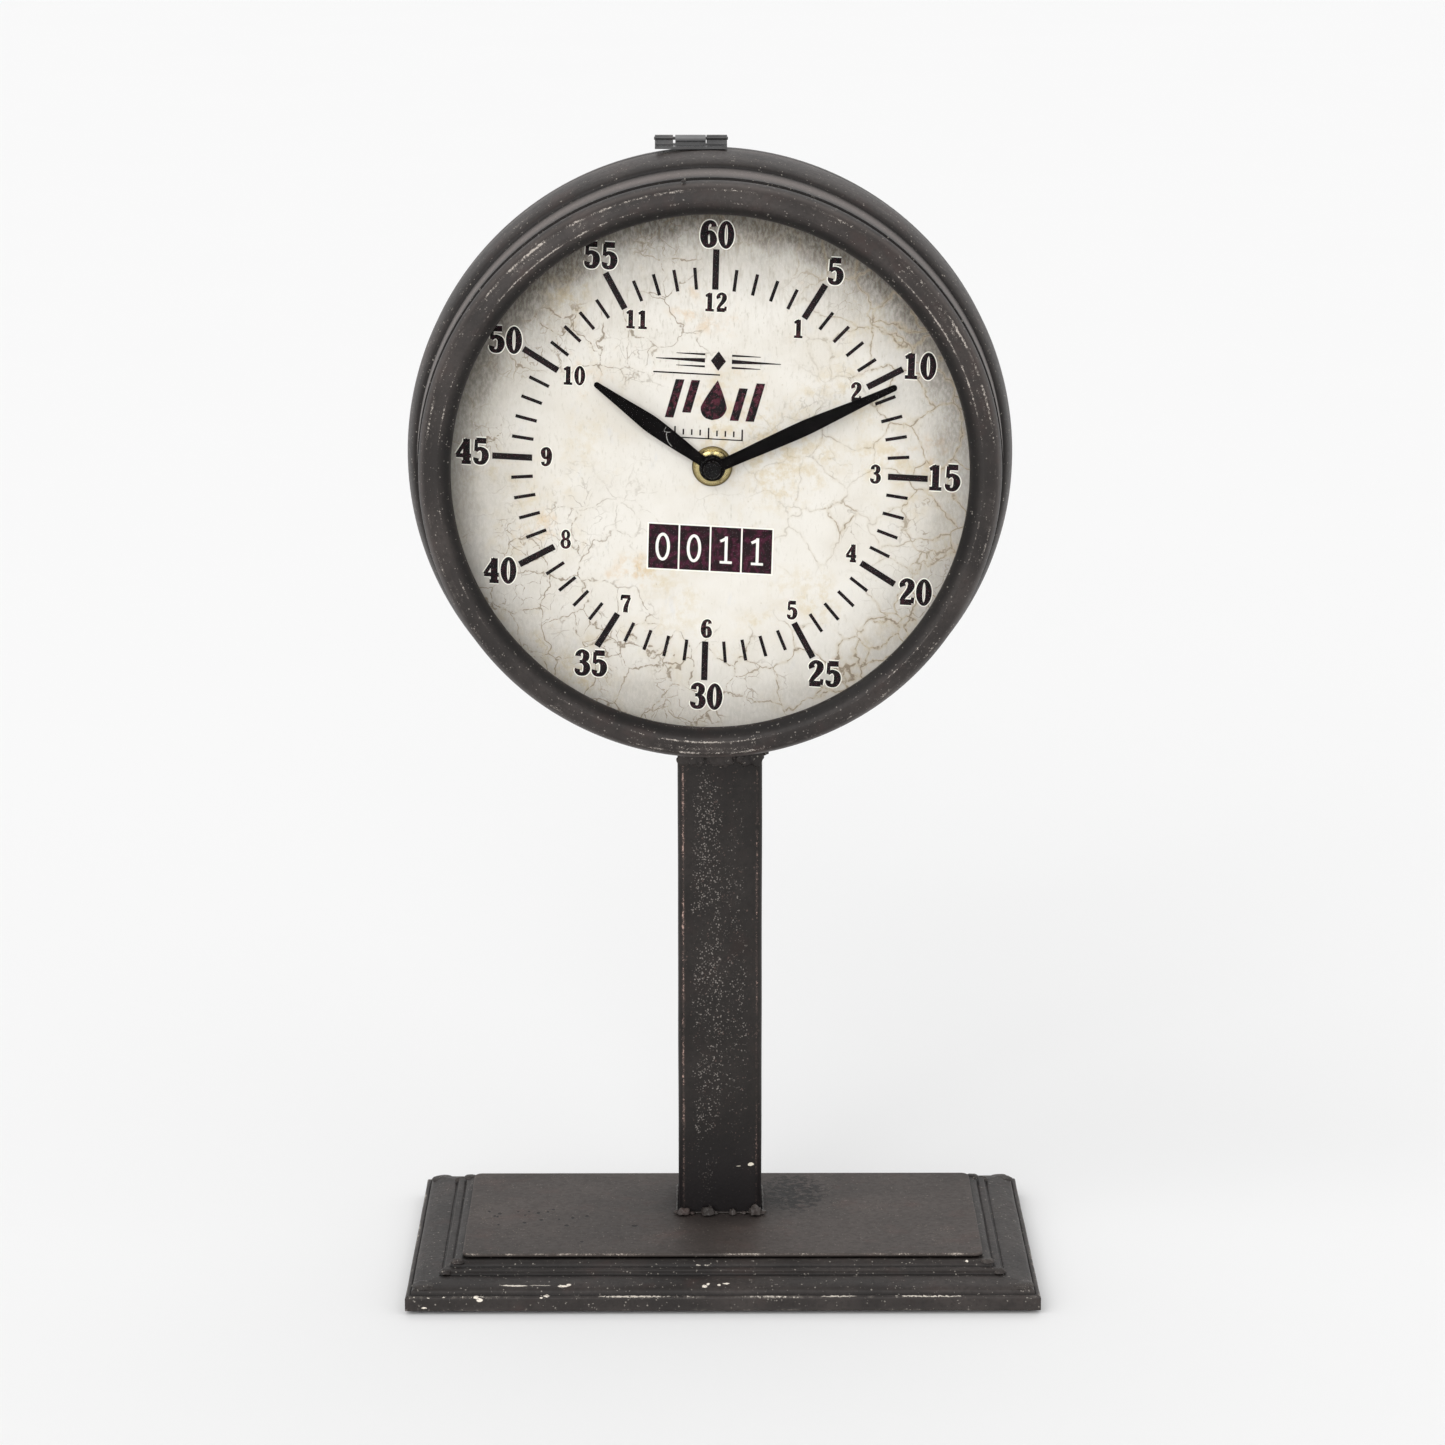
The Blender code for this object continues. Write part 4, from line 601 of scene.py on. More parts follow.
post_paint = paint("post", (0.0135, 0.0110, 0.0098), (0.0250, 0.0205, 0.0185), 0.29, 0.18,
                   chips=(0.50, 0.34, 0.29), sheen=0.40, extra=post_extras,
                   patches=(60.0, 0.72), flake=1100.0)
weld_paint = paint("weld", shade(COAT_DARK, 0.6), COAT_LIGHT, 0.2, 0.6, sheen=0.34)
drop_paint = paint("weld_drop", shade(COAT_DARK, 0.8), shade(COAT_LIGHT, 1.5), 0.3, 0.3,
                   chips=(0.34, 0.31, 0.29), sheen=0.26)

# ---------------------------------------------------------------- base

PROFILE = [(0.0, 0.0), (0.0, 4.7), (0.5, 5.3), (1.4, 5.35), (1.9, 5.0)]
PROFILE += arc((11.6, 6.1), (9.5, 2.6), 178, 90, 16)
PROFILE += [(12.1, 8.35), (12.8, 8.9), (12.8, 10.2), (13.2, 10.6), (15.0, 10.65), (15.7, 10.2)]
PROFILE += arc((18.6, 10.4), (2.7, 2.0), 180, 60, 12)
PROFILE += [(21.4, 12.3), (24.0, 12.3), (24.0, 0.0)]
MOULDING_RIDGES = [(0.3, 5.2, 0.9, 1.0), (12.9, 10.5, 0.5, 0.62), (1.4, 5.3, 0.6, 0.5),
                   (18.0, 12.4, 1.2, 0.62), (0.0, 0.5, 0.6, 0.75), (9.0, 8.7, 2.0, 0.34)]
# Grooves of the moulding, darkened with grime and painted shade
MOULDING_GROOVES = [(1.95, 5.0, 0.7, 0.8), (12.5, 8.6, 0.6, 1.0), (15.8, 10.2, 0.6, 0.9),
                    (21.0, 12.3, 1.4, 1.0), (24.0, 6.0, 9.0, 1.0)]
STATION = 2.6                      # distance between sections along a moulding
HAND_MADE = 0.22                   # how far the filed and filled surface strays
MITRE = 9.0                        # length over which it stops straying near a mitre


def build_moulding(name, side, node):
    """One mitred length of moulding; side is 0 front, 1 right, 2 back, 3 left."""
    width, depth = BASE_HIGH.x - BASE_LOW.x, BASE_HIGH.y - BASE_LOW.y
    length, across = (width, depth) if side % 2 == 0 else (depth, width)
    outline = np.array(refined(fillet(PROFILE, 0.35), 0.75))
    wear, dirt = (strength_at(outline, s) for s in (MOULDING_RIDGES, MOULDING_GROOVES))
    stations = max(12, int(length / MM / STATION))
    turn = Matrix.Rotation(math.pi / 2 * side, 3, "Z")
    rings, worn = [], []
    for k in range(stations + 1):
        share = k / stations
        end = min(1.0, min(share, 1.0 - share) * length / (MITRE * MM))
        ring = []
        for inset, height in outline:
            half = length / 2 - inset * MM
            along = -half + 2 * half * share
            free = end if 0.6 < height and inset < 22.0 else 0.0
            wave = noise.noise((along * 55.0, inset * 0.22 + side * 7.0, height * 0.25))
            lift = noise.noise((along * 210.0, inset * 0.5 + side * 3.0, 4.0))
            out = free * HAND_MADE * (0.7 * wave + 0.3 * lift) * MM
            ring.append(turn @ Vector((
                along, -across / 2 + inset * MM - 0.6 * out + 0.1 * free * MM,
                BASE_LOW.z + height * MM + 0.8 * out * (1.0 if inset > 1.0 else 0.3))))
        rings.append(ring)
        worn.append(wear * (0.75 + 0.5 * noise.noise((k * 0.11, side * 5.0, 1.0))))
    add_piece(name, *stacked(rings), moulding_paint, node=node, angle=40.0,
              wear=np.concatenate(worn), dirt=np.tile(dirt, stations + 1))


for number, side_name in enumerate(("front", "right", "back", "left")):
    build_moulding(f"moulding_{side_name}", number, f"base_moulding_{side_name}")


def lump(name, centre, radii, material, seed, rough=0.22, cut=0.0, wear=0.25):
    """A small lumpy bead of filler or weld metal."""
    bm = bmesh.new()
    bmesh.ops.create_icosphere(bm, subdivisions=3, radius=1.0)
    for v in bm.verts:
        push = 1.0 + rough * noise.noise(v.co * 1.7 + Vector((seed, seed * 0.7, 0.0)))
        v.co = Vector((v.co.x * radii[0], v.co.y * radii[1], max(v.co.z, -cut) * radii[2])) * push
        v.co = v.co * MM + Vector(centre) * MM
    place_mesh(name, mesh_of(name, bm), material, angle=60.0, wear=wear)


FILLERS = (("ogee", 6.6, 7.0, (4.6, 4.2, 1.4)), ("step", 13.6, 9.2, (2.3, 2.2, 1.5)),
           ("bead", 17.6, 11.7, (2.6, 2.4, 1.2)))
for number, (sx, sy) in enumerate(((-1, -1), (1, -1), (1, 1), (-1, 1))):
    for kind, inset, height, radii in FILLERS:
        middle = (sx * (BASE_HIGH.x / MM - inset), sy * (BASE_HIGH.y / MM - inset),
                  BASE_LOW.z / MM + height)
        lump(f"filler_{kind}_{number}", middle, radii, moulding_paint, 3.1 * number + inset,
             wear=0.45)


def rounded_ring(width, depth, corner, inset):
    """Points in mm round a rectangle moved in by inset, always the same number of them."""
    turns = rounded(width / 2 - inset, depth / 2 - inset, max(corner - inset, 0.25), 6)
    ring = []
    for k, turn in enumerate(turns):
        last, ahead = turn[-1], turns[(k + 1) % 4][0]
        steps = (60, 30)[k % 2]
        ring += turn + [tuple(np.add(last, np.subtract(ahead, last) * q / steps))
                        for q in range(1, steps)]
    return ring


PLATE_CORNER = 3.0


def build_plate():
    """The top plate, with rounded corners and an edge that wanders slightly."""
    width, depth = (PLATE_HIGH.x - PLATE_LOW.x) / MM, (PLATE_HIGH.y - PLATE_LOW.y) / MM
    thick = PLATE_HIGH.z - PLATE_LOW.z
    rings, wear, dirt = [], [], []
    # the last column darkens the plate's lower edge with grime and painted shade
    for inset, rise, rub, dark in (
            (0.45, 0.0, 0.0, 1.0), (0.1, 0.12, 0.1, 0.9), (0.0, 0.45, 0.5, 0.3),
            (0.08, 0.8, 0.95, 0.0), (0.4, 1.0, 1.0, 0.0), (0.9, 1.0, 0.4, 0.0),
            (2.4, 1.0, 0.1, 0.0), (5.0, 1.0, 0.0, 0.0)):
        ring = []
        for x, y in rounded_ring(width, depth, PLATE_CORNER, inset):
            wander = 1.0 - 0.0022 * abs(noise.noise((x * 0.05, y * 0.05, 2.0)))
            ring.append((x * wander * MM, y * wander * MM, PLATE_LOW.z + rise * thick))
            front = 1.0 if y < inset + 0.5 - depth / 2 else 0.45
            wear.append(front * rub * (0.92 + 0.4 * noise.noise((x * 0.06, y * 0.06, 9.0))))
        rings.append(ring)
        dirt += [dark] * len(ring)
    add_piece("top_plate", *stacked(rings), plate_paint, node="base_top_plate", angle=50.0,
              wear=wear, dirt=dirt)


build_plate()


def drum_radius(depth):
    """Outer radius in mm of the head's drum at a depth."""
    if depth < 0.0:
        return 100.6 + 1.4 * (depth + 20.5) / 20.5
    if depth < 18.0:
        return 102.0 + 4.3 * math.sin(math.acos(1.0 - depth / 18.0))
    return 106.3


def drum_under(x, depth):
    """Height in mm of the drum's underside at x and a depth."""
    return HEAD_Z - math.sqrt(drum_radius(depth) ** 2 - (x - HEAD_X) ** 2)


POST_CORNER = 2.5
POST_LEVELS = 60
COPE_LAP = 0.25                    # how far the post reaches into the underside of the drum


def build_post():
    """Square tube, coped to the drum at its top."""
    half = (POST_HIGH.x - POST_LOW.x) / MM / 2
    flat = refined(sum(rounded(half, half, POST_CORNER, 8), []), 0.8)
    low = POST_LOW.z / MM
    rings, wear = [], []
    for k in range(POST_LEVELS + 1):
        ring = []
        for x, y in flat:
            px, py = POST_MID.x + x, POST_MID.y + y
            z = low + (drum_under(px, max(py, -20.0)) + COPE_LAP - low) * k / POST_LEVELS
            sway = 0.10 * noise.noise((px * 0.05, py * 0.05, z * 0.03))
            ring.append(((px + sway * np.sign(x)) * MM, (py + 0.5 * sway) * MM, z * MM))
            edge = math.hypot(abs(x) - half + 1.9, 0.6 * (abs(y) - half + 0.2))
            wear.append((1.05 if x < 0 else 0.82) * math.exp(-(edge / 0.62) ** 2))
        rings.append(ring)
    add_piece("post_tube", *stacked(rings), post_paint, node="post", angle=40.0, wear=wear)


build_post()


def bead_ring(here, side, size, squeeze):
    """Twelve points round a place on a weld bead."""
    return [(here + side * math.cos(a) * size
             + Vector((0, 0, math.sin(a) * size * squeeze))) * MM
            for a in (TAU * j / 12 for j in range(12))]


def build_foot_weld():
    """A bead round the post's foot, thick and thin by turns, with single drops in front."""
    half = 15.5
    path = [Vector((POST_MID.x + x, POST_MID.y + y, PLATE_TOP + 0.4))
            for x, y in refined(sum(rounded(half, half, POST_CORNER, 5), []), 0.7)]
    rings = []
    for k, here in enumerate(path):
        ahead = (path[(k + 1) % len(path)] - path[k - 1]).normalized()
        size = 0.5 * (1.0 + 0.45 * noise.noise(here * 0.42 + Vector((2.0, 0, 0)))
                      + 0.25 * noise.noise(here * 1.3 + Vector((0, 2.0, 0))))
        rings.append(bead_ring(here, ahead.cross(Vector((0, 0, 1))).normalized(), size, 0.8))
    add_piece("weld_foot", *stacked(rings, True), weld_paint, node="foot_weld", angle=60.0,
              wear=0.25)
    for number, (dx, dy, size, tall) in enumerate((
            (-15.6, -0.4, 1.4, 0.9), (-13.0, -2.0, 2.5, 0.9), (-10.0, -0.9, 1.3, 0.6),
            (-4.5, -2.2, 2.7, 0.95), (-1.6, -0.9, 1.3, 0.7), (4.6, -1.6, 1.7, 1.15),
            (8.8, -0.8, 1.2, 0.6), (12.6, -2.2, 2.8, 1.0), (15.4, -0.8, 1.6, 0.8))):
        lump(f"weld_drop_{number}",
             (POST_MID.x + dx, POST_FRONT + dy - 0.6, PLATE_TOP + 0.3 * size),
             (size * 0.82, size * 0.8, size * tall), drop_paint, number * 1.9, 0.5, wear=0.3)


def build_head_weld():
    """Fillet under the drum in front of the post, thickest at its two ends, with drops."""
    front = -1.0                   # depth at which the drum's underside is taken
    sections, half = 43, 15.4
    rings = []
    for share in (k / sections for k in range(sections + 1)):
        x = POST_MID.x - half + 2 * half * share
        here = Vector((x, POST_FRONT - 0.15, drum_under(x, front) - 0.15))
        ends = math.exp(-((1 - share) / 0.035) ** 2) + 0.7 * math.exp(-(share / 0.03) ** 2)
        size = 0.62 + 0.22 * noise.noise(here * 0.7) + 0.85 * ends
        taper = min(1.0, 12.0 * min(share, 1 - share) + 0.25)
        rings.append(bead_ring(here, Vector((0, 1, 0)), size * taper, 1.2))
    add_piece("weld_head", *stacked(rings), weld_paint, node="head_weld", angle=60.0, wear=0.3)
    lowest = HEAD_Z - drum_radius(front)
    for number in range(9):
        dx = -12.8 + 3.2 * number + 0.7 * math.sin(2.3 * number)
        size = 2.2 + 0.5 * math.sin(1.7 * number + 0.6)
        centre = (POST_MID.x + dx, POST_FRONT + 0.1, lowest - 4.2 - 0.5 * math.sin(3.1 * number))
        lump(f"weld_head_drop_{number}", centre, (size, 1.1, 1.25 * size), weld_paint,
             7.0 + number, 0.4, 2.0)
    lump("weld_head_tab", (POST_MID.x + 15.9, POST_FRONT + 1.5, lowest - 0.6), (1.6, 1.6, 2.6),
         weld_paint, 3.3, 0.35, 2.0, 0.3)


build_foot_weld()
build_head_weld()

# ---------------------------------------------------------------- head

DRUM_DEPTHS = (0.0, 0.12, 0.5, 1.2, 2.3, 3.8, 5.8, 8.2, 11.0, 14.0, 18.0, 21.0)
outer = [(100.6, -20.5), (101.0, -14.0), (101.5, -7.0), (101.9, -1.0)]
outer += [(drum_radius(d), d) for d in DRUM_DEPTHS] + [(106.3, 23.6), (106.0, 24.0)]
inner = [(105.3, 24.0), (105.3, 18.6)]
inner += [(drum_radius(d) - 1.0, d + 1.0) for d in DRUM_DEPTHS[-3::-1] if d != 0.12]
inner += [(100.5, -7.0), (99.6, -20.5)]
# lights paint a lit band on the drum behind the bezel and a highlight on the flange's edge
turned("drum", outer + inner, head_paint, "drum_shell", 240, wobble=0.12,
       ridges=[(106.3, 19.0, 3.5, 0.66), (106.3, 23.6, 1.0, 0.8), (104.6, 5.8, 3.0, 0.5),
               (100.7, -20.2, 0.8, 0.4), (101.0, -15.0, 3.0, 0.4)],
       grooves=[(102.0, -0.4, 2.4, 1.0), (100.5, -20.5, 2.0, 1.0), (106.2, 24.1, 0.6, 1.0),
                (103.6, 2.4, 1.8, 0.45)],
       lights=[(101.2, -11.0, 6.5, 1.15), (106.3, 21.5, 3.0, 0.35)])

bezel = arc((94.0, -24.0), (6.0, -6.9), -20, 55, 18)
bezel += [(96.4, -30.1), (94.6, -30.75), (93.2, -30.85), (92.0, -30.5), (89.2, -28.1),
          (88.8, -27.5), (88.7, -26.9), (88.7, -26.4), (95.4, -26.4), (95.4, -20.8),
          (98.6, -20.8)]
# lights put a painted highlight on the bezel's outer roll
turned("bezel", bezel, bezel_paint, "bezel_ring", 240, 0.55, wobble=0.08,
       ridges=[(97.4, -29.65, 0.8, 1.0), (93.2, -30.85, 0.5, 0.95), (99.8, -26.0, 1.2, 0.5),
               (89.0, -27.8, 0.5, 0.5), (95.8, -30.3, 1.3, 0.58)],
       grooves=[(99.7, -21.4, 1.2, 1.0), (90.2, -29.0, 2.3, 1.0), (98.6, -20.8, 1.0, 1.0)],
       lights=[(98.9, -28.0, 1.2, 0.4)],
       rubbed=[(125.0, 34.0, 1.08), (92.0, 16.0, 1.0), (30.0, 30.0, 1.12), (62.0, 14.0, 0.95),
               (165.0, 16.0, 0.85), (200.0, 25.0, 0.85), (240.0, 16.0, 0.8),
               (268.0, 22.0, 1.1), (310.0, 26.0, 0.85), (352.0, 16.0, 0.9)])

cover = [(0.0, 32.0), (89.0, 32.0), (90.8, 30.5), (103.6, 30.5), (105.3, 28.9), (105.3, 24.3),
         (106.3, 24.3), (106.3, 29.2)]
cover += arc((104.3, 29.5), (2.0, 2.0), 8, 90, 7)
cover += [(100.0, 31.5), (98.6, 31.9), (97.2, 31.9), (96.0, 31.5), (91.7, 31.5), (90.9, 31.9),
          (90.4, 32.6), (89.6, 33.0), (60.0, 33.0), (30.0, 33.0), (0.0, 33.0)]
turned("back_cover", cover, cover_paint, "rear_cover", 240, 1.6, body="rear_cover",
       ridges=[(106.0, 30.4, 1.6, 0.75), (106.3, 24.5, 0.6, 0.6), (90.4, 32.7, 0.9, 0.5),
               (97.9, 31.9, 0.9, 0.35)],
       grooves=[(92.2, 31.5, 1.0, 0.8), (106.2, 24.3, 0.3, 0.8)])

front, back = depths("cover_knob")
steel = metal("bright_steel", (0.60, 0.59, 0.57), (0.30, 0.27, 0.24))
grip = [(0.0, front), (2.4, front), (2.4, front + 0.4), (1.7, front + 0.8), (1.7, front + 2.0)]
grip += arc((1.9, front + 4.4), (2.1, 2.4), -80, 60, 14)
grip += [(2.2, back - 0.15), (1.2, back), (0.0, back)]
turned("cover_grip", grip, steel, "cover_knob", 64, 0.3, centre_of("cover_knob"), "rear_cover")

# ---------------------------------------------------------------- hinge

PIN = centre_of("hinge_pin")
LEAF_THICK = 0.8
BARREL = 1.2
BORE = 0.62


def curl(side, reach, curled):
    """(depth, height) outline of a leaf seen along the pin, with or without its rolled eye."""
    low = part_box("hinge_leaf_fixed")[0].z / MM - PIN.z / MM
    top = low + LEAF_THICK
    if curled:
        rolled, eye = (arc((0.0, 0.0), (r, r), 8, 285, 26) for r in (BARREL, BORE))
        near = ([(1.3, low), (0.55, low + 0.35)] + rolled[::-1][1:] + eye
                + [(0.62, low + 1.15), (1.5, top)])
    else:
        near = [(1.75, low), (1.55, low + 0.25), (1.55, top - 0.1), (1.75, top)]
    return [(side * y, z) for y, z in [(reach, low), *near, (reach, top)]]


def extruded(name, outline, start, end, body, wear, node=None, pale=0.0):
    """A (depth, height) outline about the pin, run along X from start to end in mm."""
    rings = []
    for share, squeeze in ((0, 0.985), (1 / 3, 1.0), (2 / 3, 1.0), (1, 0.985)):
        x = PIN.x / MM + start + (end - start) * share
        rings.append([(x * MM, PIN.y + y * squeeze * MM, PIN.z + z * squeeze * MM)
                      for y, z in outline])
    add_piece(name, *stacked(rings), hinge_paint, body=body, node=node, angle=38.0, wear=wear,
              pale=pale)


hinge_paint = paint("hinge", (0.064, 0.0635, 0.064), (0.118, 0.118, 0.119), 0.22, 0.2,
                    chips=(0.42, 0.41, 0.40), sheen=0.24)
for kind, side, spans, body in (
        ("fixed", -1, ((-12.55, -6.25), (5.40, 12.55)), "clock_stand"),
        ("moving", 1, ((-5.45, 5.15),), "rear_cover")):
    extruded(f"hinge_{kind}", curl(side, 7.75, False), -12.5, 12.5, body, 0.35,
             f"hinge_leaf_{kind}")
    for number, span in enumerate(spans):
        # the moving knuckles get painted light on their shaded fronts
        extruded(f"hinge_{kind}_knuckle_{number}", curl(side, 2.2, True), *span, body, 0.45,
                 pale=0.6 if side > 0 else 0.0)

# ---------------------------------------------------------------- dial and print

PRINT_X_TILT = math.radians(3.15)  # the printed sheet sits a little askew behind the glass
PRINT_Z_TILT = math.radians(1.65)
PRINT_LAYER = 0.004                # in mm, keeps crossing strokes apart

turned("dial", fillet([(r, DIAL_FRONT + d) for r, d in ((4.3, 0), (99.2, 0), (99.2, 2.5),
                                                        (4.3, 2.5))], 0.15),
       dial_paper("dial_paper"), "dial_plate", 160, 9.0)


def on_dial(u, v, height):
    """The place of a point of the print, in mm across, up and off the dial's middle."""
    x = u * math.cos(PRINT_X_TILT) + v * math.sin(PRINT_Z_TILT)
    z = -u * math.sin(PRINT_X_TILT) + v * math.cos(PRINT_Z_TILT)
    return (HEAD.x + x * MM, (DIAL_FRONT - height) * MM, HEAD.z + z * MM)


def smooth_line(nodes, closed=False):
    """Catmull-Rom curve through (x, y, width) nodes; two nodes stay a straight line."""
    if len(nodes) == 2:
        return nodes
    count = len(nodes)
    made = []
    for i in range(count if closed else count - 1):
        p = [np.array(nodes[(i + k) % count] if closed else nodes[min(max(i + k, 0), count - 1)],
                      float) for k in (-1, 0, 1, 2)]
        for t in np.linspace(0.0, 1.0, 7)[:-1]:
            made.append(tuple(0.5 * (2 * p[1] + (p[2] - p[0]) * t
                                     + (2 * p[0] - 5 * p[1] + 4 * p[2] - p[3]) * t * t
                                     + (3 * p[1] - p[0] - 3 * p[2] + p[3]) * t ** 3)))
    return made if closed else made + [nodes[-1]]


class Print:
    """Flat raised shapes gathered into one piece, from height down to low over a surface."""

    def __init__(self, height=0.05, low=0.005, point=on_dial):
        self.verts, self.faces, self.shapes = [], [], 0
        self.height, self.low, self.point = height, low, point

    def ribbon(self, left, right, closed=False):
        """Solid between two edges with the same number of points."""
        top = self.height + PRINT_LAYER * (self.shapes % 8)
        self.shapes += 1
        count = len(left)
        a, b, c, d = (len(self.verts) + k * count for k in range(4))
        self.verts += [self.point(u, v, height) for height in (top, self.low)
                       for u, v in (*left, *right)]
        for i in range(count if closed else count - 1):
            j = (i + 1) % count
            self.faces += [(a + i, a + j, b + j, b + i), (c + i, d + i, d + j, c + j),
                           (a + i, c + i, c + j, a + j), (b + i, b + j, d + j, d + i)]
        if not closed:
            e = count - 1
            self.faces += [(a, b, d, c), (a + e, c + e, d + e, b + e)]

    def bar(self, u0, v0, u1, v1, width):
        self.stroke([(u0, v0, width), (u1, v1, width)])

    def stroke(self, nodes, u=0.0, v=0.0, height=1.0, squeeze=1.0, extra=0.0, closed=False):
        """A line through (x, y, width) nodes times height, from (u, v), widened by extra mm."""
        line = smooth_line(nodes, closed)
        left, right = [], []
        for k, (x, y, width) in enumerate(line):
            before = line[k - 1] if k or closed else line[0]
            after = line[(k + 1) % len(line)] if k < len(line) - 1 or closed else line[-1]
            dx, dy = after[0] - before[0], after[1] - before[1]
            size = math.hypot(dx, dy) or 1.0
            for edge, nx, ny in ((left, -dy / size, dx / size), (right, dy / size, -dx / size)):
                edge.append((u + (x + nx * width / 2) * squeeze * height + nx * extra,
                             v + (y + ny * width / 2) * height + ny * extra))
        self.ribbon(left, right, closed)

    def number(self, text, u, v, height, glyphs, extra, squeeze):
        """Digits centred on (u, v), height mm tall."""
        advance = 0.68 * height * squeeze
        for k, digit in enumerate(text):
            left = u + (k - len(text) / 2) * advance + 0.02 * height
            for nodes, closed in glyphs[digit]:
                self.stroke(nodes, left, v - 0.5 * height, height, squeeze, extra, closed)

    def finish(self, name, material, body="clock_stand"):
        add_piece(name, self.verts, self.faces, material, body=body, angle=30.0)


def loop(cx, cy, rx, ry, thick, thin):
    """A closed oval that is thick at its sides and thin at its top and bottom."""
    return [(cx + (rx - thick / 2) * math.cos(a), cy + (ry - thin / 2) * math.sin(a),
             thin + (thick - thin) * math.cos(a) ** 2) for a in np.radians(range(0, 360, 30))], True


def line(*values):
    """An open stroke through (x, y, width) nodes, given one after another in hundredths."""
    return [tuple(v / 100 for v in values[i:i + 3]) for i in range(0, len(values), 3)], False


# Bold numerals in a box one unit high and 0.6 wide
SIX = line(50, 79, 15, 47, 91, 10, 34, 96.5, 7, 19, 85, 15, 13, 60, 21, 13, 32, 22, 20, 10, 14,
           33, 3.5, 7, 46, 14, 16, 49, 30, 20, 44, 50, 14, 33, 57.5, 6, 20, 49, 6)
BOLD = {
    "0": [loop(.30, .50, .275, .50, .175, .055)],
    "1": [line(32, 2, 19, 32, 97, 19), line(8, 3.5, 7, 56, 3.5, 7),
          line(34, 95.5, 5, 22, 86, 10, 8, 80, 5)],
    "2": [line(15, 70, 17, 12, 79, 15, 18, 91, 9, 31, 96.5, 7, 45, 86, 17, 46, 70, 20, 37, 52, 15,
               20, 30, 10, 9, 12, 7),
          line(5, 7.5, 15, 50, 7.5, 15), line(52, 4, 7, 55, 27, 5)],
    "3": [line(14, 76, 16, 15, 85, 13, 22, 94, 8, 33, 96.5, 7, 45, 85, 17, 44, 68, 17,
               33, 55.5, 7, 21, 53.5, 6),
          line(21, 53.5, 6, 34, 52, 7, 47, 40, 17, 49, 25, 20, 42, 9, 13, 29, 3.5, 7, 17, 7, 9,
               12, 17, 14, 13, 24, 16)],
    "4": [line(44, 96, 6, 5, 32, 7), line(2, 30, 8.5, 60, 30, 8.5), line(42, 3, 19, 42, 96, 19),
          line(24, 3.5, 7, 60, 3.5, 7)],
    "5": [line(12, 92, 15, 51, 92, 15), line(13, 95, 6, 11, 50, 5.5),
          line(11, 50, 5.5, 20, 58, 7, 31, 60, 8, 45, 49, 17, 48, 30, 20, 41, 10, 13, 28, 3.5, 7,
               16, 7, 9, 12, 16, 14, 13, 23, 16)],
    "6": [SIX],
    "7": [line(5, 90, 15, 55, 90, 15), line(7, 96, 5, 5, 70, 5),
          line(53, 86, 7, 40, 58, 12, 31, 30, 18, 29, 2, 20)],
    "8": [loop(.30, .745, .22, .255, .115, .05), loop(.30, .265, .265, .265, .14, .055)],
    "9": [([(.60 - x, 1.0 - y, w) for x, y, w in SIX[0]], False)]}
PLAIN = {"0": [loop(.30, .50, .25, .50, .10, .10)],
         "1": [line(33, 2, 10, 33, 98, 10), line(12, 5, 9, 54, 5, 9),
               line(35, 95, 8, 24, 86, 10, 12, 80, 9)]}

black_ink = ink("black", 0.16)
halo_ink = ink("white", 0.4, (0.82, 0.79, 0.72), (0.78, 0.74, 0.66))

MARK_INNER = 61.5                  # radii and widths of the minute marks, in mm
FIVE_MINUTES, ONE_MINUTE = (75.3, 2.2), (69.0, 1.15)
marks = Print()
for minute in range(60):
    c, s = math.cos(TAU * minute / 60), math.sin(TAU * minute / 60)
    end, width = ONE_MINUTE if minute % 5 else FIVE_MINUTES
    marks.bar(MARK_INNER * s, MARK_INNER * c, end * s, end * c, width)
marks.finish("print_marks", black_ink)

# Slips of the print, in mm, from one o'clock to twelve: minute number, then hour number
NUMBER_SLIPS = (
    (0.1, -1.0, 0.3, 0.1), (0.1, -1.9, 0.0, 0.0), (-1.0, 0.8, 0.0, 0.2), (1.7, 1.0, 0.3, 0.9),
    (1.1, 0.3, 1.4, 0.7), (1.0, 1.0, 0.4, 0.3), (1.4, -0.3, 0.7, -0.2), (-0.8, 1.0, 0.3, 0.3),
    (-0.1, 1.3, 0.7, 0.1), (-0.3, -0.6, 1.9, 0.4), (1.7, 0.1, 2.0, 0.3), (0.4, -1.6, 0.3, 0.1))
for kind, per_hour, radius, tall, squeeze, slip, drop, halo, fat, material in (
        ("minute", 5, 82.0, 8.8, 1.0, 0, 0.0, 0.72, 0.36,
         ink("numerals", 0.42, red=(0.055, 0.013, 0.024))),
        ("hour", 1, 57.2, 6.3, 0.96, 2, 0.5, 0.5, 0.24,
         ink("small_numerals", 0.55, red=(0.090, 0.028, 0.036)))):
    for part, height, extra, colour in (("halo", 0.018, halo, halo_ink),
                                        ("numerals", 0.070, fat, material)):
        sheet = Print(height)
        for hour in range(1, 13):
            c, s = math.cos(TAU * hour / 12), math.sin(TAU * hour / 12)
            du, dv = NUMBER_SLIPS[hour - 1][slip:slip + 2]
            sheet.number(str(hour * per_hour), radius * s + du, radius * c + drop * s * s + dv,
                         tall, BOLD, extra, squeeze)
        sheet.finish(f"print_{kind}_{part}", colour)

